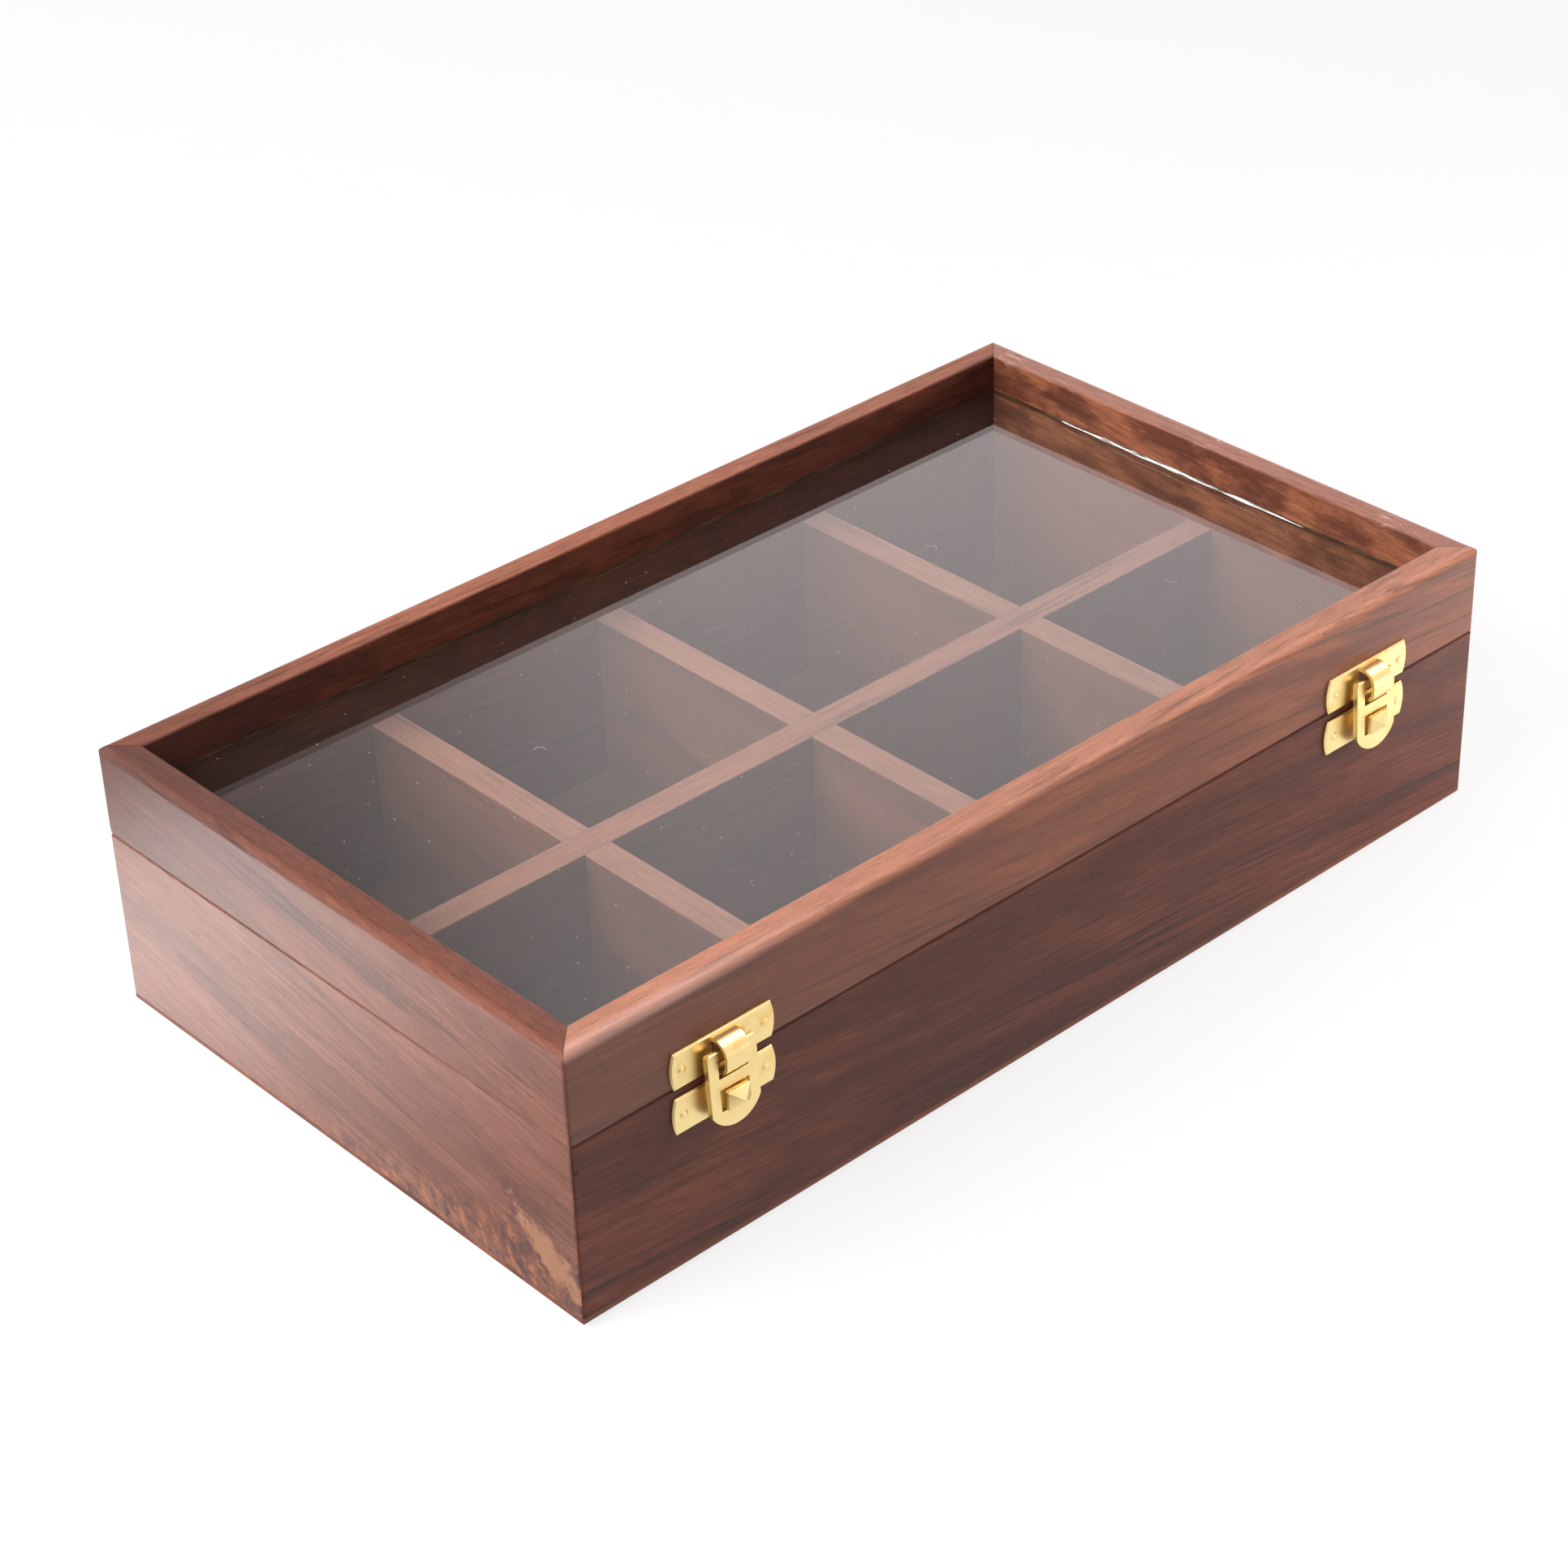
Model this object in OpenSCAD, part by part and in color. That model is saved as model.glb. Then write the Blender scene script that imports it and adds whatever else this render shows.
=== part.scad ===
// Tea bag organizer box: a mitred hardwood box with eight compartments under a
// glazed lid. The lid turns on two butt hinges let into the back rims, and two
// brass hasps hang in rolled straps at the front and drop over pointed catches.
// Millimetres. Origin at the middle of the underside, +X to the right, -Y to the
// front, +Z up.

/* [Box] */
// Outside length of the box
box_length = 305; // [240:1:420]
// Outside depth of the box, front face to back face
box_depth = 174; // [140:1:260]
// Height of the lower box, from the underside to the seam
base_height = 50.5; // [42:0.5:90]
// Height of the lid frame, from the seam to its top
lid_height = 25; // [21:0.5:40]
// Thickness of the walls and of the lid rails
wall = 8; // [8:0.5:12]
// Thickness of the panel under the walls
panel_thickness = 3; // [2:0.5:6]
// Radius sanded on the upright outer corners
corner_round = 1; // [0.5:0.1:3]
// Radius on the outer top edge of the lid
top_round = 2.5; // [0.5:0.1:3]
// Radius on the lower edge of the panel
foot_round = 2.5; // [0.5:0.1:2.7]
// Bevel sanded on the edges along the seam and around the pane
edge_ease = 0.5; // [0.2:0.1:1]

/* [Dividers] */
// Thickness of the dividers
divider_thickness = 8; // [4:0.5:10]
// How far the tops of the dividers lie below the seam
divider_drop = 0.3; // [0.1:0.1:10]
// Gap on each side of a divider in its half lap
lap_gap = 0.1; // [0.05:0.05:0.3]

/* [Glass] */
// Thickness of the pane
glass_thickness = 2.5; // [2:0.5:4]
// Depth of the top of the pane below the top of the lid
glass_depth = 11; // [5:0.5:12]
// Depth of the groove that holds the pane
groove_depth = 4; // [2:0.5:5]
// Gap between the edge of the pane and the bottom of the groove
glass_edge_gap = 0.4; // [0.2:0.1:1]
// Height of the groove over the thickness of the pane
groove_play = 0.6; // [0.1:0.1:0.8]

/* [Hinges] */
// Length of a hinge
hinge_length = 20; // [16:1:30]
// Distance from the end of the box to the middle of a hinge
hinge_from_end = 50; // [25:1:70]
// Width of a leaf, from the axis to its straight edge
leaf_width = 6; // [5:0.5:6.5]
// Thickness of a leaf
leaf_thickness = 1; // [0.8:0.1:1.5]
// Outer diameter of the knuckles
knuckle_diameter = 3.6; // [3.2:0.1:4]
// Gap between two knuckles
knuckle_gap = 0.15; // [0.1:0.05:0.3]
// Gap between the knuckles and the wood around them
pocket_gap = 0.3; // [0.2:0.1:0.6]
// Diameter of the hinge pin
pin_diameter = 1.6; // [1.2:0.1:2]
// Clearance of the pin in the knuckles of the lid leaf, on the radius
pin_clearance = 0.05; // [0.02:0.01:0.1]
// Distance of the hinge axis in from the back face
axis_inset = 1.2; // [1:0.1:1.6]
// Height of the bevel on the back of the lid
lid_bevel_height = 5; // [4:0.5:7]
// Angle at which the lid stops on the bevelled back edge of the box
lid_stop_angle = 105; // [95:1:110]
// Diameter of the heads of the hinge screws
screw_head = 3; // [2.4:0.1:3.4]
// Diameter of the shanks of the hinge screws
screw_shank = 1.8; // [1.4:0.1:2]
// Length of a hinge screw
screw_length = 6; // [4:0.5:7]

/* [Latch plates] */
// Distance from the end of the box to the middle of a latch
latch_from_end = 43.5; // [30:0.5:75]
// Length of the plates
plate_length = 30.7; // [28:0.1:36]
// Height of the plates
plate_height = 9.8; // [9:0.1:12]
// Thickness of the sheet brass
sheet = 0.9; // [0.7:0.1:1.1]
// Bevel around the front of the plates
plate_bevel = 0.4; // [0.2:0.1:0.5]
// How far the ends of the plates bow out
plate_bow = 1; // [0.4:0.1:1.6]
// Height of the upper plate above the seam
upper_plate_gap = 0.2; // [0.2:0.1:2]
// Drop of the lower plate below the seam
lower_plate_gap = 2.2; // [1.8:0.1:3]
// Distance of the nails in from the ends of the plates
nail_from_end = 3.2; // [2.4:0.1:4]
// Diameter of the nail heads
nail_head = 2.3; // [1.8:0.1:3]
// Height of the domed nail heads
nail_dome = 0.5; // [0.3:0.1:0.8]
// Diameter of the nail shanks
nail_shank = 1.1; // [0.8:0.1:1.4]
// Length of the nail shanks behind the heads
nail_length = 7; // [5:0.5:7.5]

/* [Rolled strap] */
// Width of the strap
strap_width = 6.9; // [5:0.1:8]
// Reach of the strap in front of the wood
strap_reach = 6; // [5.6:0.1:7]
// Depth of the strap below the top edge of its plate
strap_drop = 0.8; // [0.7:0.1:1.2]
// Height of the foot of the strap above the lower edge of its plate
strap_lift = 0.3; // [0.1:0.1:0.5]
// Outer radius of the upper bend
upper_bend = 4; // [2.2:0.1:4.2]
// Outer radius of the lower bend
lower_bend = 2.8; // [2.4:0.1:3]
// Outer radius of the tail that is turned in
tail_bend = 1.6; // [1.4:0.1:1.8]

/* [Hasp] */
// Thickness of the hasp
hasp_thickness = 1.5; // [1.2:0.1:1.7]
// Width of the hasp beside its openings
hasp_arm = 2.9; // [2.4:0.1:4]
// Height of the bar that hangs in the strap
hasp_bar = 2.6; // [2:0.1:2.8]
// Height of the bar between the two openings
hasp_bridge = 3; // [2.5:0.1:3.6]
// Depth of the hasp below its window
hasp_end = 4.8; // [4:0.1:6]
// Radius of the round end
hasp_end_radius = 8; // [7.8:0.1:10]
// Radius where the sides run into the round end
hasp_heel = 1.5; // [1:0.1:1.8]
// Radius of the upper corners
hasp_corner = 1; // [0.5:0.1:1.2]
// Space above the bar inside the strap
bar_headroom = 1.5; // [1.3:0.1:1.8]
// Distance of the swing axis in front of the wood
swing_reach = 2.9; // [2.8:0.1:3.2]
// Gap between the strap and the side of its slot
slot_side_gap = 0.8; // [0.3:0.1:1]
// Gap between the foot of the strap and the bridge of the hasp
slot_foot_gap = 0.9; // [0.6:0.1:1.2]
// Gap between the closed hasp and the lower plate
hasp_rest_gap = 0.15; // [0.1:0.05:0.3]

/* [Catch] */
// Width of the catch
catch_width = 6.4; // [5:0.1:7]
// Height of the catch
catch_height = 4.8; // [4:0.1:5.2]
// Reach of the straight sides of the catch in front of the wood
catch_reach = 5.6; // [4:0.1:5.8]
// Height of the four-sided point on the catch
catch_point = 2.3; // [0.8:0.1:3]
// Gap beside the catch in the window of the hasp
window_side_gap = 1.05; // [0.4:0.05:1.5]
// Gap above and below the catch in the window of the hasp
window_end_gap = 0.4; // [0.4:0.05:0.8]

/* [Panel nails] */
// Diameter of the flat heads under the panel
brad_head = 2.4; // [2:0.1:3]
// Thickness of the flat heads
brad_head_height = 0.8; // [0.5:0.1:1]
// Diameter of the shanks
brad_shank = 1.2; // [1:0.1:1.6]
// Length of a panel nail
brad_length = 16; // [10:1:20]
// Distance of the outermost nails in from the corners
brad_from_corner = 24; // [15:1:40]

/* [Hidden] */
$fn = 48;

left = -1;
right = 1;
side_wood = "#8c6058";
front_wood = "#5e3c36";
rim_wood = "#a5643f";
divider_wood = "#9a6a58";
brass = "#d9b45a";
cut_over = 1;

seam = base_height;
lid_top = seam + lid_height;
inner_length = box_length - 2 * wall;
inner_depth = box_depth - 2 * wall;

// Three cross dividers at one pitch make four equal columns
columns = 4;
column_pitch = (inner_length + divider_thickness) / columns;
divider_top = seam - divider_drop;
lap_height = (panel_thickness + divider_top) / 2;

glass_top = lid_top - glass_depth;
glass_bottom = glass_top - glass_thickness;
glass_reach = groove_depth - glass_edge_gap;

// The base bevel takes up what the lid bevel leaves of the opening angle,
// and half a degree more, so that the two faces just clear at the stop
hinge_x = box_length / 2 - hinge_from_end;
axis_y = box_depth / 2 - axis_inset;
stop_margin = 0.5;
base_bevel_height = axis_inset * tan(lid_stop_angle + stop_margin - atan(lid_bevel_height / axis_inset));
knuckle_count = 5;
knuckle_pitch = hinge_length / knuckle_count;
knuckle_radius = knuckle_diameter / 2;
pin_radius = pin_diameter / 2;
screw_sink = (screw_head - screw_shank) / 2;
screw_spread = hinge_length / 4;

wood_front = -box_depth / 2;
latch_x = box_length / 2 - latch_from_end;
upper_plate_bottom = seam + upper_plate_gap;
upper_plate_top = upper_plate_bottom + plate_height;
lower_plate_top = seam - lower_plate_gap;
lower_plate_bottom = lower_plate_top - plate_height;

plate_end_radius = (plate_height * plate_height / 4 + plate_bow * plate_bow) / (2 * plate_bow);

strap_top = upper_plate_top - strap_drop;
strap_foot = upper_plate_bottom + strap_lift;
swing_z = strap_top - sheet - bar_headroom - hasp_bar / 2;
strap_slot = strap_width + 2 * slot_side_gap;

// Distances down the hasp, from its swing axis
slot_end = swing_z - strap_foot + slot_foot_gap;
window_start = slot_end + hasp_bridge;
window_height = catch_height + 2 * window_end_gap;
window_end = window_start + window_height;
hasp_tip = window_end + hasp_end;
window_width = catch_width + 2 * window_side_gap;
hasp_width = max(strap_slot, window_width) + 2 * hasp_arm;
rest_room = swing_reach - hasp_thickness / 2 - sheet - hasp_rest_gap;
hasp_lean = asin(rest_room / (swing_z - lower_plate_bottom));
catch_z = swing_z - (window_start + window_height / 2) * cos(hasp_lean);

// ---- Shared shapes ----

module rounded_rectangle(width, height, radius) {
    square([width - 2 * radius, height], center = true);
    square([width, height - 2 * radius], center = true);
    for (sx = [-1, 1], sy = [-1, 1])
        translate([sx * (width / 2 - radius), sy * (height / 2 - radius)])
            circle(r = radius);
}

// A round rod on the X axis
module rod(start, length, radius) {
    translate([start, 0, 0])
        rotate([0, 90, 0])
            cylinder(r = radius, h = length);
}

// Stretch of a bent strip, from angle start through the sweep, up to 90 degrees
module strip_bend(outer, start, sweep) {
    far = 2 * outer;
    intersection() {
        difference() {
            circle(r = outer);
            circle(r = outer - sheet);
        }
        polygon([
            [0, 0],
            [far * cos(start), far * sin(start)],
            [far * cos(start + sweep / 2), far * sin(start + sweep / 2)],
            [far * cos(start + sweep), far * sin(start + sweep)]
        ]);
    }
}

// The outline of the box, with its upright corners sanded round
module box_outline(height) {
    linear_extrude(height = height)
        rounded_rectangle(box_length, box_depth, corner_round);
}

// A bar with mitred ends. Its outer face lies on Y = 0 and it runs along X.
// The child is its section: X inwards from the outer face, Y up.
module mitred_bar(length, height) {
    intersection() {
        translate([-length / 2, 0, 0])
            rotate([90, 0, 90])
                linear_extrude(height = length)
                    children();
        linear_extrude(height = height)
            polygon([
                [-length / 2, 0], [length / 2, 0],
                [length / 2 - wall, wall], [-length / 2 + wall, wall]
            ]);
    }
}

module at_front() translate([0, -box_depth / 2, 0]) children();
module at_back() translate([0, box_depth / 2, 0]) rotate([0, 0, 180]) children();
module at_left() translate([-box_length / 2, 0, 0]) rotate([0, 0, -90]) children();
module at_right() translate([box_length / 2, 0, 0]) rotate([0, 0, 90]) children();

// Corner to take off the edge of a section at the origin, to leave it bevelled
module eased_corner() {
    far = edge_ease + cut_over;
    polygon([[-cut_over, -cut_over], [far, -cut_over], [-cut_over, far]]);
}

// Corner to take off the edge of a section at the origin, to leave it round
module rounded_corner(radius) {
    difference() {
        translate([-cut_over, -cut_over])
            square(radius + cut_over);
        translate([radius, radius])
            circle(r = radius);
    }
}

// ---- Lower box ----

// Section of a base wall, from the panel to the seam
module wall_section() {
    difference() {
        translate([0, panel_thickness])
            square([wall, seam - panel_thickness]);
        translate([0, seam])
            mirror([0, 1])
                eased_corner();
    }
}

module base_wall(length) {
    mitred_bar(length, seam) wall_section();
}

// The open wedge behind the hinge axis, planed off the lid and the lower box
module back_wedge() {
    far = axis_inset + cut_over;
    translate([-box_length / 2 - cut_over, axis_y, seam])
        rotate([90, 0, 90])
            linear_extrude(height = box_length + 2 * cut_over)
                polygon([
                    [0, 0],
                    [far, -far * base_bevel_height / axis_inset],
                    [far, far * lid_bevel_height / axis_inset]
                ]);
}

module panel_nail_places() {
    long_step = (box_length - 2 * brad_from_corner) / 3;
    for (i = [0:3], sy = [-1, 1])
        translate([-box_length / 2 + brad_from_corner + i * long_step, sy * (box_depth - wall) / 2, 0])
            children();
    for (sx = [-1, 1], sy = [-1, 1])
        translate([sx * (box_length - wall) / 2, sy * (box_depth / 2 - brad_from_corner), 0])
            children();
}

module panel_nail() {
    cylinder(d = brad_head, h = brad_head_height);
    cylinder(d = brad_shank, h = brad_length);
}

module base_front_wall() {
    color(front_wood)
        difference() {
            intersection() {
                at_front() base_wall(box_length);
                box_outline(seam);
            }
            panel_nail_places() panel_nail();
            for (side = [left, right]) catch_nail_places(side) latch_nail_shank();
        }
}

module base_back_wall() {
    color(front_wood)
        difference() {
            intersection() {
                at_back() base_wall(box_length);
                box_outline(seam);
            }
            back_wedge();
            panel_nail_places() panel_nail();
            for (side = [left, right]) hinge_place(side) {
                leaf_recess(-1);
                base_screws();
            }
        }
}

module base_left_wall() {
    color(side_wood)
        difference() {
            intersection() {
                at_left() base_wall(box_depth);
                box_outline(seam);
            }
            back_wedge();
            panel_nail_places() panel_nail();
        }
}

module base_right_wall() {
    color(side_wood)
        difference() {
            intersection() {
                at_right() base_wall(box_depth);
                box_outline(seam);
            }
            back_wedge();
            panel_nail_places() panel_nail();
        }
}

// Section across one direction of the panel, with its lower edges rounded
module panel_section(width) {
    difference() {
        translate([-width / 2, 0])
            square([width, panel_thickness]);
        for (side = [0, 1])
            mirror([side, 0])
                translate([-width / 2, 0])
                    rounded_corner(foot_round);
    }
}

module bottom_panel() {
    color(rim_wood)
        difference() {
            intersection() {
                box_outline(panel_thickness);
                translate([-box_length / 2, 0, 0])
                    rotate([90, 0, 90])
                        linear_extrude(height = box_length)
                            panel_section(box_depth);
                translate([0, box_depth / 2, 0])
                    rotate([90, 0, 0])
                        linear_extrude(height = box_depth)
                            panel_section(box_length);
            }
            panel_nail_places() panel_nail();
        }
}

module panel_nails() {
    color("#77706a") panel_nail_places() panel_nail();
}

// ---- Dividers ----

// The long divider is notched from below and sits over the cross dividers
module long_divider() {
    notch = divider_thickness + 2 * lap_gap;
    color(divider_wood)
        difference() {
            translate([-inner_length / 2, -divider_thickness / 2, panel_thickness])
                cube([inner_length, divider_thickness, divider_top - panel_thickness]);
            for (i = [1:columns - 1])
                translate([cross_divider_x(i) - notch / 2, -divider_thickness / 2 - cut_over,
                        panel_thickness - cut_over])
                    cube([notch, divider_thickness + 2 * cut_over,
                        lap_height - panel_thickness + cut_over]);
        }
}

function cross_divider_x(i) = -inner_length / 2 - divider_thickness / 2 + i * column_pitch;

module cross_divider(i) {
    notch = divider_thickness + 2 * lap_gap;
    color(divider_wood)
        translate([cross_divider_x(i), 0, 0])
            difference() {
                translate([-divider_thickness / 2, -inner_depth / 2, panel_thickness])
                    cube([divider_thickness, inner_depth, divider_top - panel_thickness]);
                translate([-divider_thickness / 2 - cut_over, -notch / 2, lap_height])
                    cube([divider_thickness + 2 * cut_over, notch,
                        divider_top - lap_height + cut_over]);
            }
}

module cross_divider_left() { cross_divider(1); }
module cross_divider_middle() { cross_divider(2); }
module cross_divider_right() { cross_divider(3); }

// ---- Lid frame ----

// Section of a lid rail, from the seam up, with the groove for the pane
module rail_section() {
    difference() {
        translate([0, seam])
            square([wall, lid_height]);
        translate([0, seam])
            eased_corner();
        translate([0, lid_top])
            mirror([0, 1])
                rounded_corner(top_round);
        translate([wall, lid_top])
            rotate([0, 0, 180])
                eased_corner();
        translate([wall - groove_depth, glass_bottom])
            square([groove_depth + cut_over, glass_thickness + groove_play]);
    }
}

module lid_rail(length) {
    mitred_bar(length, lid_top) rail_section();
}

module lid_front_rail() {
    color(front_wood)
        difference() {
            intersection() {
                at_front() lid_rail(box_length);
                box_outline(lid_top);
            }
            for (side = [left, right]) latch_nail_places(side) latch_nail_shank();
        }
}

module lid_back_rail() {
    color(front_wood)
        difference() {
            intersection() {
                at_back() lid_rail(box_length);
                box_outline(lid_top);
            }
            back_wedge();
            for (side = [left, right]) hinge_place(side) {
                leaf_recess(1);
                lid_screws();
            }
        }
}

module lid_left_rail() {
    color(side_wood)
        difference() {
            intersection() {
                at_left() lid_rail(box_depth);
                box_outline(lid_top);
            }
            back_wedge();
        }
}

module lid_right_rail() {
    color(side_wood)
        difference() {
            intersection() {
                at_right() lid_rail(box_depth);
                box_outline(lid_top);
            }
            back_wedge();
        }
}

module glass_pane() {
    color("#cfdcd8", 0.35)
        translate([-inner_length / 2 - glass_reach, -inner_depth / 2 - glass_reach, glass_bottom])
            cube([inner_length + 2 * glass_reach, inner_depth + 2 * glass_reach, glass_thickness]);
}

// ---- Hinges ----
// Each hinge is drawn with its pin on the X axis and its leaves towards -Y

module hinge_place(side) {
    translate([side * hinge_x, axis_y, seam]) children();
}

// Recess for a leaf and the knuckles, above the seam for the lid (up = 1) or
// below it for the base (up = -1)
module leaf_recess(up) {
    translate([-hinge_length / 2, -leaf_width, up > 0 ? 0 : -leaf_thickness])
        cube([hinge_length, leaf_width + cut_over, leaf_thickness]);
    rod(-hinge_length / 2, hinge_length, knuckle_radius + pocket_gap);
}

// A leaf with its own knuckles: first is 0 or 1, and every second one follows
module hinge_leaf(up, first, bore_radius) {
    relief = knuckle_radius + pocket_gap;
    own_length = knuckle_pitch - 2 * knuckle_gap;
    difference() {
        union() {
            translate([-hinge_length / 2, -leaf_width, up > 0 ? 0 : -leaf_thickness])
                cube([hinge_length, leaf_width - relief, leaf_thickness]);
            for (i = [first:2:knuckle_count - 1]) {
                start = -hinge_length / 2 + i * knuckle_pitch + knuckle_gap;
                translate([start, -relief - leaf_thickness / 2, up > 0 ? 0 : -leaf_thickness])
                    cube([own_length, relief + leaf_thickness / 2, leaf_thickness]);
                rod(start, own_length, knuckle_radius);
            }
        }
        rod(-hinge_length / 2 - cut_over, hinge_length + 2 * cut_over, bore_radius);
        if (up > 0) lid_screws(); else base_screws();
    }
}

// A countersunk screw that points down, its head flush with Z = 0
module hinge_screw() {
    translate([0, 0, -screw_sink])
        cylinder(d1 = screw_shank, d2 = screw_head, h = screw_sink);
    translate([0, 0, -screw_length])
        cylinder(d = screw_shank, h = screw_length);
}

module screw_places() {
    middle = -(leaf_width + knuckle_radius + pocket_gap) / 2;
    for (sx = [-1, 1])
        translate([sx * screw_spread, middle, 0])
            children();
}

module base_screws() { screw_places() hinge_screw(); }
module lid_screws() { screw_places() mirror([0, 0, 1]) hinge_screw(); }

module base_leaf(side) {
    color(brass) hinge_place(side) hinge_leaf(-1, 0, pin_radius);
}

module lid_leaf(side) {
    color(brass) hinge_place(side) hinge_leaf(1, 1, pin_radius + pin_clearance);
}

module hinge_pin(side) {
    color(brass)
        hinge_place(side)
            rod(-hinge_length / 2 + knuckle_gap, hinge_length - 2 * knuckle_gap, pin_radius);
}

module left_hinge_base_leaf() { base_leaf(left); }
module right_hinge_base_leaf() { base_leaf(right); }
module left_hinge_lid_leaf() { lid_leaf(left); }
module right_hinge_lid_leaf() { lid_leaf(right); }
module left_hinge_pin() { hinge_pin(left); }
module right_hinge_pin() { hinge_pin(right); }

module base_hinge_screws() {
    color(brass) for (side = [left, right]) hinge_place(side) base_screws();
}

module lid_hinge_screws() {
    color(brass) for (side = [left, right]) hinge_place(side) lid_screws();
}

// ---- Latch plates ----
// Plates are drawn flat: X along the box, Y up, Z out from the wood

module on_front(side, z) {
    translate([side * latch_x, wood_front, z])
        rotate([90, 0, 0])
            children();
}

// Section of a plate, seen from its end, with its front edges bevelled
module plate_section() {
    half = plate_height / 2;
    polygon([
        [-half, 0], [half, 0], [half, sheet - plate_bevel],
        [half - plate_bevel, sheet], [-half + plate_bevel, sheet],
        [-half, sheet - plate_bevel]
    ]);
}

// Right half of a plate, whose end bows out
module half_plate() {
    intersection() {
        rotate([90, 0, 90])
            linear_extrude(height = plate_length / 2)
                plate_section();
        translate([plate_length / 2 - plate_end_radius, 0, 0]) {
            cylinder(r = plate_end_radius, h = sheet - plate_bevel);
            translate([0, 0, sheet - plate_bevel])
                cylinder(r1 = plate_end_radius, r2 = plate_end_radius - plate_bevel, h = plate_bevel);
        }
    }
}

// A sheet plate with bowed ends and a bevelled front, lower edge on Y = 0
module latch_plate_blank() {
    translate([0, plate_height / 2, 0])
        for (flip = [0, 1])
            mirror([flip, 0, 0])
                half_plate();
}

module nail_places() {
    for (sx = [-1, 1])
        translate([sx * (plate_length / 2 - nail_from_end), plate_height / 2, sheet])
            children();
}

module latch_nail_places(side) {
    on_front(side, upper_plate_bottom) nail_places() children();
}

module catch_nail_places(side) {
    on_front(side, lower_plate_bottom) nail_places() children();
}

module latch_nail_shank() {
    translate([0, 0, -nail_length])
        cylinder(d = nail_shank, h = nail_length);
}

// A nail with a domed head that rests on the plate
module latch_nail() {
    dome_radius = (nail_head * nail_head / 4 + nail_dome * nail_dome) / (2 * nail_dome);
    latch_nail_shank();
    intersection() {
        translate([0, 0, nail_dome - dome_radius])
            sphere(r = dome_radius);
        cylinder(d = nail_head + cut_over, h = nail_dome + cut_over);
    }
}

// Section of the rolled strap: X out from the wood, Y up from the lower edge
// of the plate. It leaves the plate at the top and turns down, back and in.
module strap_section() {
    top = strap_top - upper_plate_bottom;
    foot = strap_foot - upper_plate_bottom;
    front_top = top - upper_bend;
    front_foot = foot + lower_bend;
    tail_x = sheet + tail_bend;
    translate([0, top - sheet])
        square([strap_reach - upper_bend, sheet]);
    translate([strap_reach - upper_bend, front_top])
        strip_bend(upper_bend, 0, 90);
    translate([strap_reach - sheet, front_foot])
        square([sheet, front_top - front_foot]);
    translate([strap_reach - lower_bend, front_foot])
        strip_bend(lower_bend, 270, 90);
    translate([tail_x, foot])
        square([strap_reach - lower_bend - tail_x, sheet]);
    translate([tail_x, foot + tail_bend])
        strip_bend(tail_bend, 180, 90);
}

// The upper plate: slit up from its lower edge to free the strap, which is
// rolled forward to hold the bar of the hasp
module latch_plate(side) {
    color(brass)
        on_front(side, upper_plate_bottom) {
            difference() {
                latch_plate_blank();
                translate([-strap_width / 2, -cut_over, -cut_over])
                    cube([strap_width, strap_top - upper_plate_bottom - sheet + cut_over,
                        sheet + 2 * cut_over]);
                nail_places() latch_nail_shank();
            }
            translate([strap_width / 2, 0, 0])
                rotate([0, -90, 0])
                    linear_extrude(height = strap_width)
                        strap_section();
        }
}

// The lower plate, with a straight-sided catch that ends in a four-sided point
module catch_plate(side) {
    catch_up = catch_z - lower_plate_bottom;
    color(brass)
        on_front(side, lower_plate_bottom) {
            difference() {
                latch_plate_blank();
                nail_places() latch_nail_shank();
            }
            translate([0, catch_up, 0]) {
                translate([-catch_width / 2, -catch_height / 2, 0])
                    cube([catch_width, catch_height, catch_reach]);
                catch_point_solid();
            }
        }
}

module catch_point_solid() {
    half_x = catch_width / 2;
    half_y = catch_height / 2;
    apex = catch_reach + catch_point;
    intersection() {
        translate([-half_x, half_y, 0])
            rotate([90, 0, 0])
                linear_extrude(height = catch_height)
                    translate([half_x, 0])
                        polygon([[-half_x, catch_reach], [half_x, catch_reach], [0, apex]]);
        translate([-half_x, 0, 0])
            rotate([90, 0, 90])
                linear_extrude(height = catch_width)
                    polygon([[-half_y, catch_reach], [half_y, catch_reach], [0, apex]]);
    }
}

module left_latch_plate() { latch_plate(left); }
module right_latch_plate() { latch_plate(right); }
module left_catch_plate() { catch_plate(left); }
module right_catch_plate() { catch_plate(right); }
module left_latch_nails() { color(brass) latch_nail_places(left) latch_nail(); }
module right_latch_nails() { color(brass) latch_nail_places(right) latch_nail(); }
module left_catch_nails() { color(brass) catch_nail_places(left) latch_nail(); }
module right_catch_nails() { color(brass) catch_nail_places(right) latch_nail(); }

// ---- Hasps ----
// Drawn flat with the swing axis on X: Y is up, and Z points out from the wood

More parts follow.
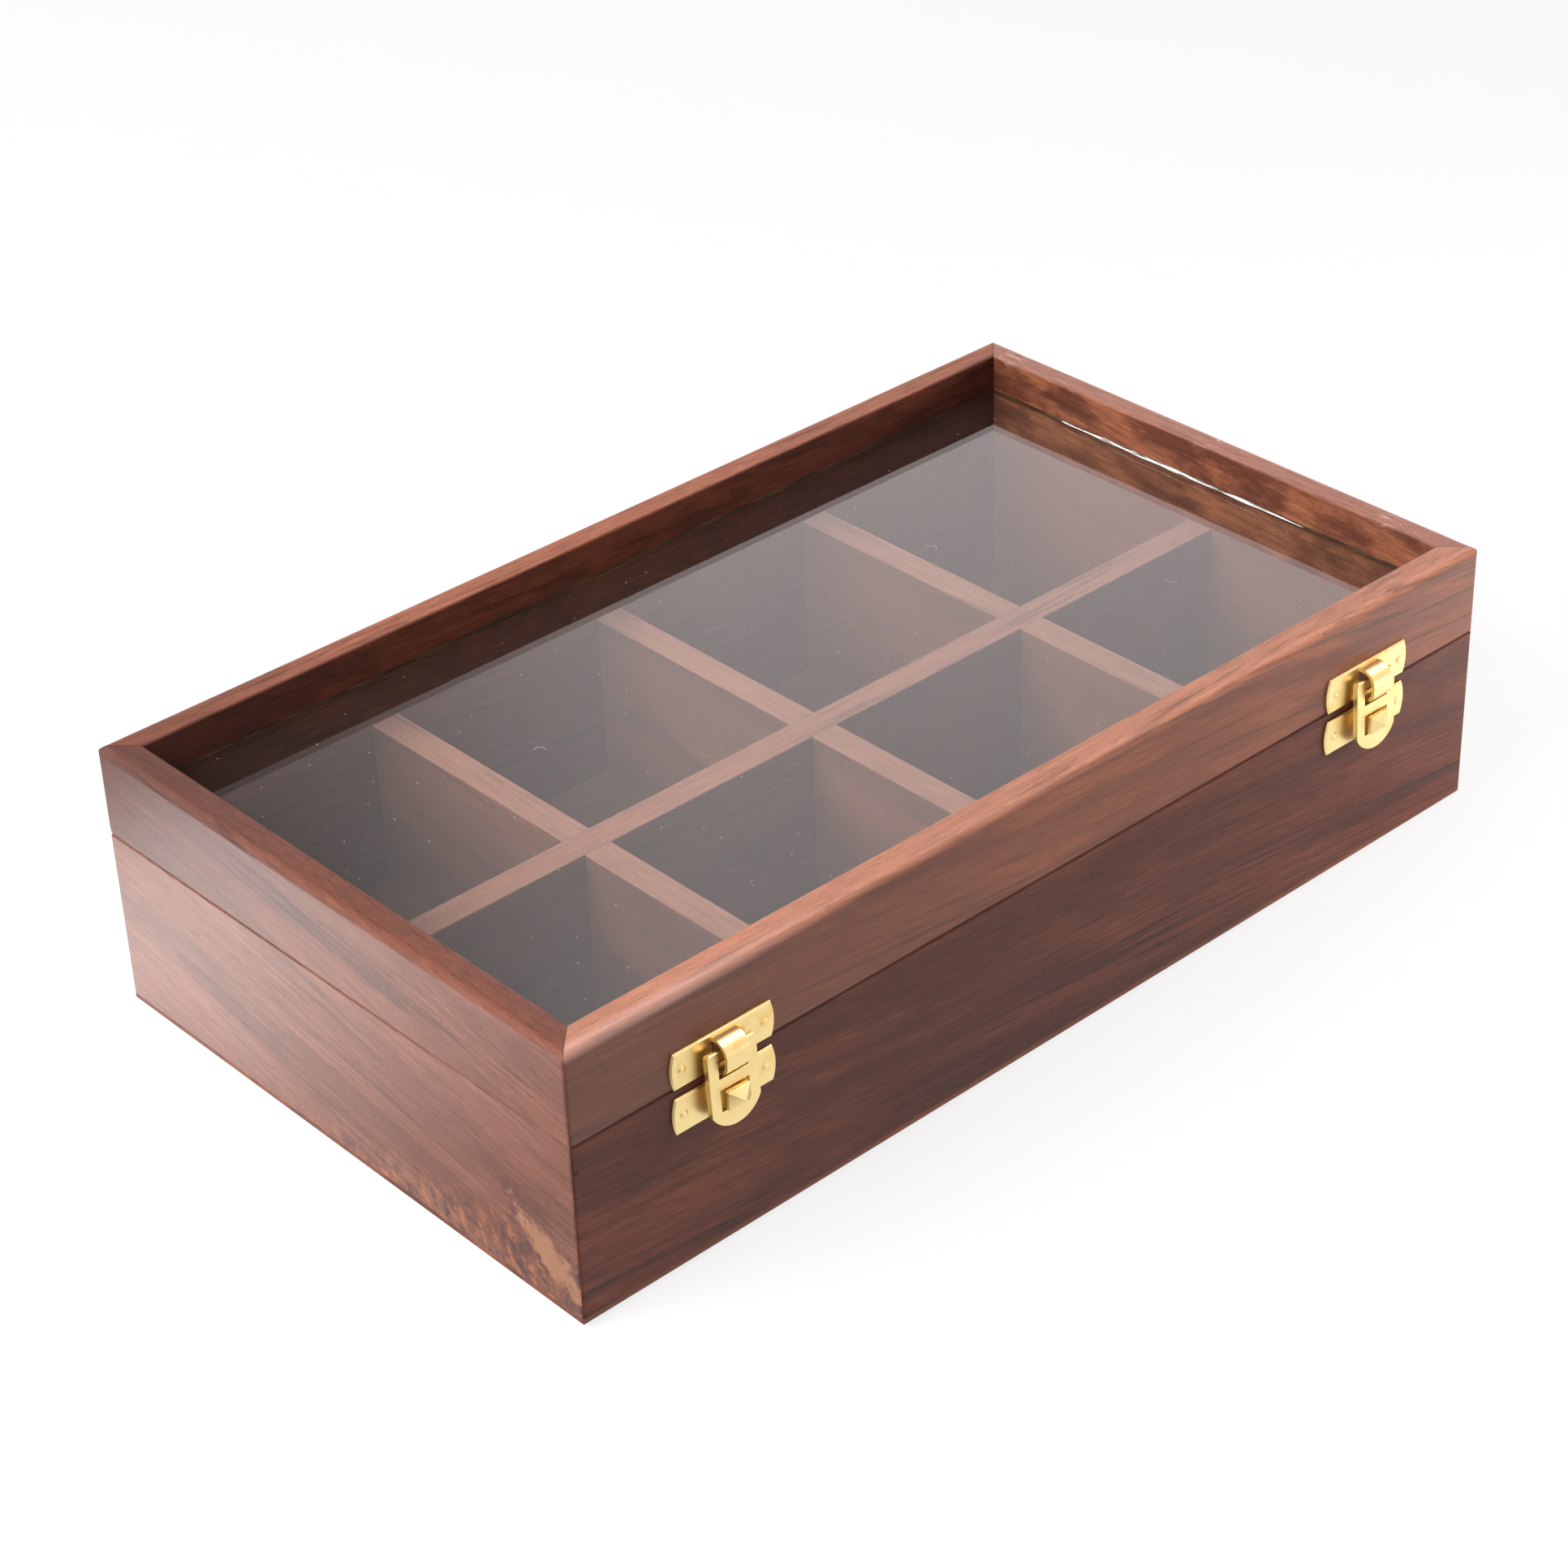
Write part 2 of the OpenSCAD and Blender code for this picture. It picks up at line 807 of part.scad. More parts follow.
// Outline of the hasp: straight sides that run through a small heel into one
// large arc at the lower end
module hasp_outline() {
    half = hasp_width / 2;
    head = hasp_bar / 2;
    arc_y = -hasp_tip + hasp_end_radius;
    heel_x = half - hasp_heel;
    reach = hasp_end_radius - hasp_heel;
    heel_y = arc_y - sqrt(reach * reach - heel_x * heel_x);
    tangent = hasp_end_radius / reach;
    intersection() {
        union() {
            difference() {
                intersection() {
                    translate([-half, -hasp_tip])
                        square([2 * half, hasp_tip + head]);
                    union() {
                        translate([0, arc_y]) circle(r = hasp_end_radius, $fn = 96);
                        translate([-half, arc_y]) square([2 * half, head - arc_y]);
                        translate([-half, heel_y]) square([2 * half, arc_y - heel_y]);
                    }
                }
                for (flip = [0, 1])
                    mirror([flip, 0])
                        polygon([
                            [heel_x, heel_y], [half + cut_over, heel_y],
                            [half + cut_over, -hasp_tip],
                            [heel_x * tangent, arc_y + (heel_y - arc_y) * tangent]
                        ]);
            }
            for (sx = [-1, 1])
                translate([sx * heel_x, heel_y]) circle(r = hasp_heel);
        }
        translate([0, -hasp_tip])
            rounded_rectangle(2 * half, 2 * (hasp_tip + head), hasp_corner);
    }
}

// Everything below the swing axis, and above it only what turns with the bar:
// its upper and lower edges are rounded about the axis
module hasp_blank() {
    intersection() {
        linear_extrude(height = hasp_thickness, center = true)
            difference() {
                hasp_outline();
                translate([-window_width / 2, -window_end])
                    square([window_width, window_height]);
            }
        union() {
            rod(-hasp_width / 2, hasp_width, hasp_bar / 2);
            translate([-hasp_width / 2, -hasp_tip, -hasp_thickness])
                cube([hasp_width, hasp_tip, 2 * hasp_thickness]);
        }
    }
}

module hasp(side) {
    color(brass)
        translate([side * latch_x, wood_front - swing_reach, swing_z])
            rotate([90 - hasp_lean, 0, 0])
                difference() {
                    hasp_blank();
                    difference() {
                        translate([-strap_slot / 2, -slot_end, -hasp_thickness])
                            cube([strap_slot, slot_end, 2 * hasp_thickness]);
                        rod(-hasp_width / 2, hasp_width, hasp_bar / 2);
                    }
                }
}

module left_hasp() { hasp(left); }
module right_hasp() { hasp(right); }

bottom_panel();
base_front_wall();
base_back_wall();
base_left_wall();
base_right_wall();
long_divider();
cross_divider_left();
cross_divider_middle();
cross_divider_right();
panel_nails();
lid_front_rail();
lid_back_rail();
lid_left_rail();
lid_right_rail();
glass_pane();
left_hinge_base_leaf();
right_hinge_base_leaf();
left_hinge_lid_leaf();
right_hinge_lid_leaf();
left_hinge_pin();
right_hinge_pin();
base_hinge_screws();
lid_hinge_screws();
left_latch_plate();
right_latch_plate();
left_catch_plate();
right_catch_plate();
left_hasp();
right_hasp();
left_latch_nails();
right_latch_nails();
left_catch_nails();
right_catch_nails();
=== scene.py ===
"""Looks for a hardwood tea bag organizer box with a glazed lid and brass latches.

Run as a script: it loads the packed model, finishes every piece and sets the stage.
"""

import math

import bmesh
import bpy
from bpy.props import FloatProperty, FloatVectorProperty, PointerProperty
from mathutils import Euler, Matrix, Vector, noise


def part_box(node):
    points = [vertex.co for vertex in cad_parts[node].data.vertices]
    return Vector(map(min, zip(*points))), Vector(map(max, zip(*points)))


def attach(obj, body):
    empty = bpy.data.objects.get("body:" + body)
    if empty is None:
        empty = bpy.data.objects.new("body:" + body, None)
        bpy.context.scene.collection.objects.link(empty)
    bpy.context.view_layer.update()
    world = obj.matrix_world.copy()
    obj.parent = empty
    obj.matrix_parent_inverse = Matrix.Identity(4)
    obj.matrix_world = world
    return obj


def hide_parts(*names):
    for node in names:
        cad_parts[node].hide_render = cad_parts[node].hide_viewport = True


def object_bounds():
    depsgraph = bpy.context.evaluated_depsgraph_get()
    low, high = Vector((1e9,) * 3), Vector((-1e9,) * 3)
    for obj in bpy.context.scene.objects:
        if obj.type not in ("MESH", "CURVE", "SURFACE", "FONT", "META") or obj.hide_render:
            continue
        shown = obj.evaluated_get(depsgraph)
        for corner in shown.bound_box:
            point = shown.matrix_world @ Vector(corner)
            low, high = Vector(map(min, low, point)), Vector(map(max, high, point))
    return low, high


bl_info = {
    "name": "Tea Bag Organizer Box",
    "version": (1, 0, 0),
    "blender": (4, 5, 0),
    "location": "View3D > Sidebar > Tea Box",
    "description": "Finishes the wood, glass, hinges and latches of a tea bag organizer box",
    "category": "Object",
}

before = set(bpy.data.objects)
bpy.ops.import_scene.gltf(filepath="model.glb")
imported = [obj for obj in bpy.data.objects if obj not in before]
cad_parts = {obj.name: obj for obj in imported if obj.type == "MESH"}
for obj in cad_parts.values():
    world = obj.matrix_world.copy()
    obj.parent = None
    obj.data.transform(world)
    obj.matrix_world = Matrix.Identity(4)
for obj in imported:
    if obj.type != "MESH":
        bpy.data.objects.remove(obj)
cad_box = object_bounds()
mm = 0.001

# Heights and faces that patterns and new pieces are placed by, in metres
rail_low, rail_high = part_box("lid_front_rail")
divider_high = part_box("long_divider")[1]
end_x, front_y = cad_box[1].x, -rail_low.y
inner_x = divider_high.x
inner_y = front_y - (end_x - inner_x)
seam, lid_top = rail_low.z, rail_high.z
pane_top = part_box("glass_pane")[1].z
divider_top = divider_high.z

LONG_WALLS = ("base_front_wall", "base_back_wall")
END_WALLS = ("base_left_wall", "base_right_wall")
CROSS_DIVIDERS = ("cross_divider_left", "cross_divider_middle", "cross_divider_right")
HINGE_PIECES = (
    "left_hinge_base_leaf", "right_hinge_base_leaf", "left_hinge_lid_leaf",
    "right_hinge_lid_leaf", "left_hinge_pin", "right_hinge_pin",
    "base_hinge_screws", "lid_hinge_screws",
)
# By the body that they ride on, left and right alike
LATCH_PIECES = {
    "lid": ("latch_plate", "latch_nails"),
    "base": ("catch_plate", "catch_nails"),
    "hasp": ("hasp",),
}

# Node settings that recur: for a Map Range with soft ends, and for a Mix of two colours
SOFT = {"interpolation_type": "SMOOTHSTEP"}
COLOUR = {"data_type": "RGBA", "output": 2}


# ---- Colours and nodes ----

def linear(colour):
    """Turn an sRGB hex colour into linear red, green and blue."""
    channels = [int(colour[i:i + 2], 16) / 255 for i in (1, 3, 5)]
    return tuple(c / 12.92 if c <= 0.04045 else ((c + 0.055) / 1.055) ** 2.4 for c in channels)


def rgba(colour):
    """A colour socket's four values, from three linear values or a hex colour."""
    return (*(linear(colour) if isinstance(colour, str) else colour), 1.0)


def add_node(tree, kind, inputs=(), output=0, **settings):
    """Add a node and give one of its outputs, or all of them where output is None.

    kind is the node's type, without ShaderNode in front. inputs are values and links, in
    the sockets' order or by socket, and settings are the node's own properties.
    """
    node = tree.nodes.new("ShaderNode" + kind)
    for name, value in settings.items():
        setattr(node, name, value)
    by_socket = inputs if isinstance(inputs, dict) else dict(enumerate(inputs))
    for socket, value in by_socket.items():
        if isinstance(value, bpy.types.NodeSocket):
            tree.links.new(value, node.inputs[socket])
        else:
            node.inputs[socket].default_value = value
    return node.outputs if output is None else node.outputs[output]


def new_material(name):
    """A material and its empty node tree."""
    material = bpy.data.materials.new(name)
    material.use_nodes = True
    material.node_tree.nodes.clear()
    return material, material.node_tree


def give_material(names, material):
    """Put one material in every slot of the named CAD nodes."""
    for name in names:
        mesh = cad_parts[name].data
        mesh.materials.clear()
        mesh.materials.append(material)


def stretched_noise(tree, where, size, turn=(0, 0, 0), shift=(0, 0, 0), detail=3.0,
                    roughness=0.6):
    """Noise whose features are size = (along the grain, across, across) in metres."""
    mapped = add_node(tree, "Mapping", {
        "Vector": where, "Location": shift, "Rotation": turn, "Scale": size,
    }, vector_type="TEXTURE")
    return add_node(tree, "TexNoise", {
        "Vector": mapped, "Scale": 1.0, "Detail": detail, "Roughness": roughness})


# ---- Wood ----

def grain_along_x(tilt):
    """Rotation of grain that runs along the box and rises by tilt degrees to the right."""
    return (0.0, math.radians(-tilt), 0.0)


def grain_along_y(tilt):
    """Rotation of grain that runs front to back and rises by tilt degrees to the back."""
    return (0.0, math.radians(-tilt), math.radians(90))


def wandering_grain(tree, where, turn, shift):
    """A function for noise that follows the grain, in features of length by width mm.

    The grain wanders by a few millimetres over a hand's width.
    """
    swing = 9 * mm
    wander = stretched_noise(tree, where, (160 * mm, 40 * mm, 40 * mm), turn, shift, 1.0, 0.5)
    offset = add_node(tree, "Math", (wander, swing, -swing / 2), operation="MULTIPLY_ADD")
    aside = add_node(tree, "CombineXYZ", (offset, offset, offset))
    bent = add_node(tree, "VectorMath", (where, aside), operation="ADD")

    def along(length, width, detail=2.0, roughness=0.5, start=0.0):
        return stretched_noise(tree, bent, (length * mm, width * mm, width * mm), turn,
                               (shift[0] + start, shift[1], shift[2]), detail, roughness)
    return along


def glue_line(tree, width, depth):
    """How dark a board is from the thin line of glue at its mitres."""
    beyond = add_node(tree, "Math", (width, depth), operation="SUBTRACT")
    off_mitre = add_node(tree, "Math", (beyond, end_x - front_y), operation="SUBTRACT")
    from_mitre = add_node(tree, "Math", (off_mitre,), operation="ABSOLUTE")
    return add_node(tree, "MapRange", (from_mitre, 0.1 * mm, 0.35 * mm, 0.6, 0.0), **SOFT)


def painted_seam_shade(tree, width, depth, height):
    """Painted shade in the seam between lid and base: how dark a board is along the seam's outer
    edges.
    """
    off_seam = add_node(tree, "Math", (height, seam), operation="SUBTRACT")
    from_seam = add_node(tree, "Math", (off_seam,), operation="ABSOLUTE")
    near_seam = add_node(tree, "MapRange", (from_seam, 0.15 * mm, 0.5 * mm, 0.4, 0.0), **SOFT)
    past_end = add_node(tree, "Math", (width, end_x), operation="SUBTRACT")
    past_front = add_node(tree, "Math", (depth, front_y), operation="SUBTRACT")
    from_outside = add_node(tree, "Math", (past_end, past_front), operation="MAXIMUM")
    at_outside = add_node(tree, "MapRange", (from_outside, -1.4 * mm, -0.5 * mm), **SOFT)
    return add_node(tree, "Math", (near_seam, at_outside), operation="MULTIPLY")


def sheesham(name, turn, colours, shift, veins=0.7, streaks=(75, 1.5), streaky=None, figure=1.0,
             gloss=0.4, specular=0.25, coat=0.0, joined=True, rim=None, inside=None, edge=None,
             extra=None):
    """Sheesham, planed, sanded along the grain and finished with a satin lacquer.

    Broad bands of heartwood run along the grain. Grouped purple-black streaks about
    2 mm wide cross them, with hair-fine fibres and short open pores over the whole.
    turn is the grain's rotation, colours are (dark, middle, light, vein), streaks is the
    streaks' length and width in mm, and streaky the heights between which they thin out.
    figure scales the contrast of the fine grain, and gloss is the faces' roughness.
    joined boards meet in mitres, and get a line of painted shade along the seam between lid and
    base. rim and edge are the colours of sawn or sanded tops.
    inside colours the inner faces, and extra adds marks of one board alone.

    Noise lies round 0.5, so each Map Range from noise says how much of it shows.
    """
    dark, middle, light, vein = (rgba(colour) for colour in colours)
    coated = coat > 0
    material, tree = new_material(name)
    where = add_node(tree, "TexCoord", output="Object")
    place = add_node(tree, "SeparateXYZ", (where,), None)
    along = wandering_grain(tree, where, turn, shift)

    bands = along(300, 14)
    clouds = along(60, 12, 3.0, 0.6)
    long_streaks = along(*streaks, start=0.37)
    groups = along(200, 11, start=0.71)
    dabs = along(16, 1.7, 3.0, 0.6, 0.29)
    lines = along(45, 0.8, 2.0, 0.6, 0.13)
    fibres = along(7, 0.4, 2.0, 0.65)
    # Real pores are 0.2 mm wide: they are drawn half as wide again so that they show
    pores = along(3.5, 0.3, 1.0, 0.5, 0.53)

    banded = add_node(tree, "MapRange", (bands, 0.36, 0.62), **SOFT)
    base = add_node(tree, "Mix", {0: banded, 6: dark, 7: middle}, **COLOUR)
    clouded = add_node(tree, "MapRange", (clouds, 0.44, 0.74, 0.0, 0.8), **SOFT)
    base = add_node(tree, "Mix", {0: clouded, 6: base, 7: light}, **COLOUR)

    width = add_node(tree, "Math", (place[0],), operation="ABSOLUTE")
    depth = add_node(tree, "Math", (place[1],), operation="ABSOLUTE")
    past_side = add_node(tree, "Math", (width, inner_x), operation="SUBTRACT")
    past_long = add_node(tree, "Math", (depth, inner_y), operation="SUBTRACT")
    past_face = add_node(tree, "Math", (past_side, past_long), operation="MAXIMUM")
    # How dark the dabs are, which sanding makes fainter
    dabbed = 0.42 * figure
    if rim:
        # The sanded top of the rim is paler and duller than the faces. It runs over the
        # rounded outer edge and ends at the crisp inner one
        lowered = add_node(tree, "MapRange", (
            past_face, 0.05 * mm, 0.4 * mm, 1.7 * mm, 0.0), **SOFT)
        level = add_node(tree, "Math", (place[2], lowered), operation="SUBTRACT")
        on_top = add_node(tree, "MapRange", (
            level, lid_top - 2.4 * mm, lid_top - 0.4 * mm), **SOFT)
        sanded = add_node(tree, "Math", (on_top, 0.7), operation="MULTIPLY")
        base = add_node(tree, "Mix", {0: sanded, 6: base, 7: rgba(rim)}, **COLOUR)
        if coated:
            duller = add_node(tree, "Math", (on_top, -1.0, 1.0), operation="MULTIPLY_ADD")
            coat = add_node(tree, "Math", (duller, coat), operation="MULTIPLY")
        dabbed = add_node(tree, "Math", (on_top, -0.6 * dabbed, dabbed),
                          operation="MULTIPLY_ADD")
    if inside:
        # Inner faces were cut from the other side of the board
        within = add_node(tree, "MapRange", (past_face, 0.1 * mm, 0.5 * mm, 0.8, 0.0), **SOFT)
        base = add_node(tree, "Mix", {0: within, 6: base, 7: inside(tree, along)}, **COLOUR)
    if edge:
        # Sawn top edges are paler than the planed faces
        sawn = add_node(tree, "MapRange", (
            place[2], divider_top - 0.5 * mm, divider_top - 0.2 * mm, 0.0, 0.8), **SOFT)
        base = add_node(tree, "Mix", {0: sawn, 6: base, 7: rgba(edge)}, **COLOUR)

    grouped = add_node(tree, "MapRange", (groups, 0.40, 0.60, 0.15, 1.0), **SOFT)
    if streaky:
        thinned = add_node(tree, "MapRange", (place[2], *streaky, 1.0, 0.3), **SOFT)
        grouped = add_node(tree, "Math", (grouped, thinned), operation="MULTIPLY")
    streaked = add_node(tree, "MapRange", (long_streaks, 0.50, 0.68, 0.0, veins), **SOFT)
    dark_streaks = add_node(tree, "Math", (grouped, streaked), operation="MULTIPLY")
    base = add_node(tree, "Mix", {0: dark_streaks, 6: base, 7: vein}, **COLOUR)
    shadowed = add_node(tree, "MapRange", (dabs, 0.40, 0.56, dabbed, 0.0), **SOFT)
    base = add_node(tree, "Mix", {0: shadowed, 6: base, 7: dark}, **COLOUR)
    lined = add_node(tree, "MapRange", (
        lines, 0.3, 0.7, 1 - 0.16 * figure, 1 + 0.14 * figure), **SOFT)
    fibrous = add_node(tree, "MapRange", (
        fibres, 0.3, 0.7, 1 - 0.16 * figure, 1 + 0.15 * figure), **SOFT)
    tone = add_node(tree, "Math", (lined, fibrous), operation="MULTIPLY")
    grey = add_node(tree, "CombineColor", (tone, tone, tone))
    base = add_node(tree, "Mix", {0: 1.0, 6: base, 7: grey}, blend_type="MULTIPLY", **COLOUR)
    open_pores = add_node(tree, "MapRange", (pores, 0.64, 0.76, 0.0, 0.4), **SOFT)
    base = add_node(tree, "Mix", {0: open_pores, 6: base, 7: vein}, **COLOUR)

    if joined:
        # The glue lines at the mitres are real dark joints; the dark line along the seam is
        # painted shade, with less coat there
        mitre = glue_line(tree, width, depth)
        seam_shade_mask = painted_seam_shade(tree, width, depth, place[2])
        darkened = add_node(tree, "Math", (mitre, seam_shade_mask), operation="MAXIMUM")
        base = add_node(tree, "Mix", {0: darkened, 6: base, 7: vein}, **COLOUR)
        if coated:
            seam_coat_share = add_node(tree, "Math", (seam_shade_mask, -1.6, 1.0), operation="MULTIPLY_ADD")
            coat = add_node(tree, "Math", (seam_coat_share, coat), operation="MULTIPLY")
    if extra:
        base = extra(tree, base, place, where)

    rough = add_node(tree, "Math", (open_pores, 0.3, gloss), operation="MULTIPLY_ADD")
    relief = add_node(tree, "Math", (fibres, open_pores), operation="SUBTRACT")
    bump = add_node(tree, "Bump", {
        "Height": relief, "Strength": 0.08 * figure, "Distance": 0.05 * mm})
    shader = add_node(tree, "BsdfPrincipled", {
        "Base Color": base, "Roughness": rough, "IOR": 1.5, "Specular IOR Level": specular,
        "Coat Weight": coat, "Coat Roughness": 0.25, "Normal": bump})
    add_node(tree, "OutputMaterial", (shader,), None)
    return material


# Colours of inner faces: each gives a function for sheesham's inside

def even_face(colour):
    """Inner faces of one tone."""
    return lambda tree, along: rgba(colour)


def blotchy_face(low, high):
    """Inner faces that took the stain unevenly, in blotches a couple of centimetres long."""
    def blotches(tree, along):
        share = add_node(tree, "MapRange", (along(18, 8, 4.0, 0.6, 0.87), 0.38, 0.62), **SOFT)
        return add_node(tree, "Mix", {0: share, 6: rgba(low), 7: rgba(high)}, **COLOUR)
    return blotches


# Marks of one board alone, for sheesham's extra: each takes the colour so far and gives
# the new one

def corner_knot(tree, base, place, where):
    """A burl along the foot of the left wall, with a tongue of pale sapwood at the front."""
    bark_brown = rgba("#40292a")
    on_left = add_node(tree, "MapRange", (
        place[0], -end_x + 6 * mm, -end_x + 14 * mm, 1.0, 0.0), **SOFT)
    # The burl's upper border sinks towards the back, by 16 mm in 100
    from_front = add_node(tree, "Math", (place[1], front_y), operation="ADD")
    height = add_node(tree, "Math", (from_front, 0.16, place[2]), operation="MULTIPLY_ADD")
    at_foot = add_node(tree, "MapRange", (height, 13 * mm, 27 * mm, 1.0, 0.0), **SOFT)
    burl = add_node(tree, "Math", (on_left, at_foot), operation="MULTIPLY")
    curls = stretched_noise(tree, where, (9 * mm, 3 * mm, 5 * mm),
                            (math.radians(-38), 0.0, 0.0), detail=5.0, roughness=0.7)
    pale_curls = add_node(tree, "MapRange", (curls, 0.51, 0.60, 0.0, 0.85), **SOFT)
    bright = add_node(tree, "Math", (burl, pale_curls), operation="MULTIPLY")
    base = add_node(tree, "Mix", {0: bright, 6: base, 7: rgba("#8c5638")}, **COLOUR)
    dark_curls = add_node(tree, "MapRange", (curls, 0.38, 0.47, 0.9, 0.0), **SOFT)
    shade = add_node(tree, "Math", (burl, dark_curls), operation="MULTIPLY")
    base = add_node(tree, "Mix", {0: shade, 6: base, 7: bark_brown}, **COLOUR)

    # The tongue is a ragged ellipse, measured in its own half lengths, with bark round it
    tongue = add_node(tree, "Mapping", {
        "Vector": where, "Location": (-end_x, -front_y + 10 * mm, 15 * mm),
        "Rotation": (math.radians(37), 0.0, 0.0), "Scale": (30 * mm, 15 * mm, 5.5 * mm),
    }, vector_type="TEXTURE")
    distance = add_node(tree, "VectorMath", (tongue,), 1, operation="LENGTH")
    # Its border breaks up in teeth of about 4.5 mm, which is 220 to a metre
    teeth = add_node(tree, "TexNoise", {
        "Vector": where, "Scale": 220.0, "Detail": 5.0, "Roughness": 0.7})
    ragged = add_node(tree, "Math", (teeth, 2.6, distance), operation="MULTIPLY_ADD")
    off_edge = add_node(tree, "Math", (ragged, 2.4), operation="SUBTRACT")
    from_edge = add_node(tree, "Math", (off_edge,), operation="ABSOLUTE")
    bark = add_node(tree, "MapRange", (from_edge, 0.0, 0.3, 0.5, 0.0), **SOFT)
    base = add_node(tree, "Mix", {0: bark, 6: base, 7: bark_brown}, **COLOUR)
    sapwood = add_node(tree, "MapRange", (ragged, 1.80, 2.20, 0.8, 0.0), **SOFT)
    return add_node(tree, "Mix", {0: sapwood, 6: base, 7: rgba("#8a6248")}, **COLOUR)


def far_corner(tree, base, place, where):
    """The rails darken towards their far left corner."""
    corner = (-end_x, front_y, lid_top)
    distance = add_node(tree, "VectorMath", (where, corner), 1, operation="DISTANCE")
    dark = add_node(tree, "MapRange", (distance, 20 * mm, 100 * mm, 0.5, 0.0), **SOFT)
    return add_node(tree, "Mix", {0: dark, 6: base, 7: rgba("#3a2522")}, **COLOUR)


def near_end(tree, base, place, where):
    """The front rail darkens to its left end, where its rim's outer edge has a painted pale
    highlight.
    """
    from_end = add_node(tree, "Math", (place[0], end_x), operation="ADD")
    from_front = add_node(tree, "Math", (place[1], front_y), operation="ADD")
    below_rim = add_node(tree, "MapRange", (
        place[2], lid_top - 3 * mm, lid_top - 1.4 * mm, 1.0, 0.0), **SOFT)
    to_dark = add_node(tree, "MapRange", (from_end, 40 * mm, 160 * mm, 0.35, 0.0), **SOFT)
    dark = add_node(tree, "Math", (below_rim, to_dark), operation="MULTIPLY")
    base = add_node(tree, "Mix", {0: dark, 6: base, 7: rgba("#45302a")}, **COLOUR)
    # Painted highlight: a pale band on the rim's rounded outer edge, fading out 30 to 90 mm from
    # the left end
    on_edge = add_node(tree, "MapRange", (from_front, 1.5 * mm, 4.5 * mm, 0.18, 0.0), **SOFT)
    to_pale = add_node(tree, "MapRange", (from_end, 30 * mm, 90 * mm, 1.0, 0.0), **SOFT)
    edge_highlight = add_node(tree, "Math", (on_edge, to_pale), operation="MULTIPLY")
    on_rim = add_node(tree, "Math", (1.0, below_rim), operation="SUBTRACT")
    pale = add_node(tree, "Math", (edge_highlight, on_rim), operation="MULTIPLY")
    return add_node(tree, "Mix", {0: pale, 6: base, 7: rgba("#d8c0bb")}, **COLOUR)


def lifted_lacquer(tree, base, place, where):
    """Three places on the right rim where the lacquer has lifted in pale curls."""
    flakes = stretched_noise(tree, where, (9 * mm, 2.5 * mm, 2.5 * mm), grain_along_y(0),
                             detail=1.0, roughness=0.5)
    off_line = add_node(tree, "Math", (flakes, 0.5), operation="SUBTRACT")
    from_line = add_node(tree, "Math", (off_line,), operation="ABSOLUTE")
    curls = add_node(tree, "MapRange", (from_line, 0.01, 0.05, 0.6, 0.0), **SOFT)
    for y in (-62 * mm, 1 * mm, 74 * mm):
        middle = (end_x - 4 * mm, y, lid_top)
        distance = add_node(tree, "VectorMath", (where, middle), 1, operation="DISTANCE")
        near = add_node(tree, "MapRange", (distance, 1.5 * mm, 5.5 * mm, 1.0, 0.0), **SOFT)
        lifted = add_node(tree, "Math", (near, curls), operation="MULTIPLY")
        base = add_node(tree, "Mix", {0: lifted, 6: base, 7: rgba("#c9aa9c")}, **COLOUR)
    return base


def nail_hole(tree, base, place, where):
    """A filled nail hole at the left end of the front wall, 7 mm under the seam."""
    middle = (-end_x + 1.2 * mm, -front_y, 43.5 * mm)
    distance = add_node(tree, "VectorMath", (where, middle), 1, operation="DISTANCE")
    hole = add_node(tree, "MapRange", (distance, 0.4 * mm, 0.8 * mm, 0.85, 0.0), **SOFT)
    return add_node(tree, "Mix", {0: hole, 6: base, 7: rgba("#1c0f0d")}, **COLOUR)


# ---- Metal ----

def wire_nail_steel():
    """Drawn steel wire, headed and left bare: a dull grey with slight scale."""
    material, tree = new_material("drawn_steel_wire_nails")
    where = add_node(tree, "TexCoord", output="Object")
    # Scale in spots of about 1.1 mm, which is 900 to a metre
    scale = add_node(tree, "TexNoise", {"Vector": where, "Scale": 900.0, "Detail": 3.0})
    grey = add_node(tree, "Mix", {0: scale, 6: rgba("#6f6a66"), 7: rgba("#a29c96")}, **COLOUR)
    rough = add_node(tree, "MapRange", (scale, 0.3, 0.7, 0.35, 0.55), **SOFT)
    shader = add_node(tree, "BsdfPrincipled", {
        "Base Color": grey, "Metallic": 1.0, "Roughness": rough})
    add_node(tree, "OutputMaterial", (shader,), None)
    return material


def polished_brass(name, colour, roughness):
    """Sheet brass, buffed and lacquered: a warm mirror with faint buffing lines."""
    material, tree = new_material(name)
    where = add_node(tree, "TexCoord", output="Object")
    buffing = stretched_noise(tree, where, (9 * mm, 0.35 * mm, 0.35 * mm),
                              (0.0, math.radians(35), 0.0))
    tarnish = add_node(tree, "TexNoise", {
        "Vector": where, "Scale": 1 / (6 * mm), "Detail": 3.0})
    relief = add_node(tree, "Math", (buffing, tarnish), operation="ADD")
    bump = add_node(tree, "Bump", {"Height": relief, "Strength": 0.1, "Distance": 0.05 * mm})
    tarnished = add_node(tree, "MapRange", (tarnish, 0.45, 0.75, 0.0, 0.5), **SOFT)
    brass = add_node(tree, "Mix", {
        0: tarnished, 6: rgba(colour), 7: rgba("#e3b763")}, **COLOUR)
    rough = add_node(tree, "MapRange", (buffing, 0.3, 0.7, roughness, roughness + 0.08), **SOFT)
    shader = add_node(tree, "BsdfPrincipled", {
        "Base Color": brass, "Metallic": 1.0, "Roughness": rough, "Normal": bump})
    add_node(tree, "OutputMaterial", (shader,), None)
    return material


# ---- Glass and glue ----

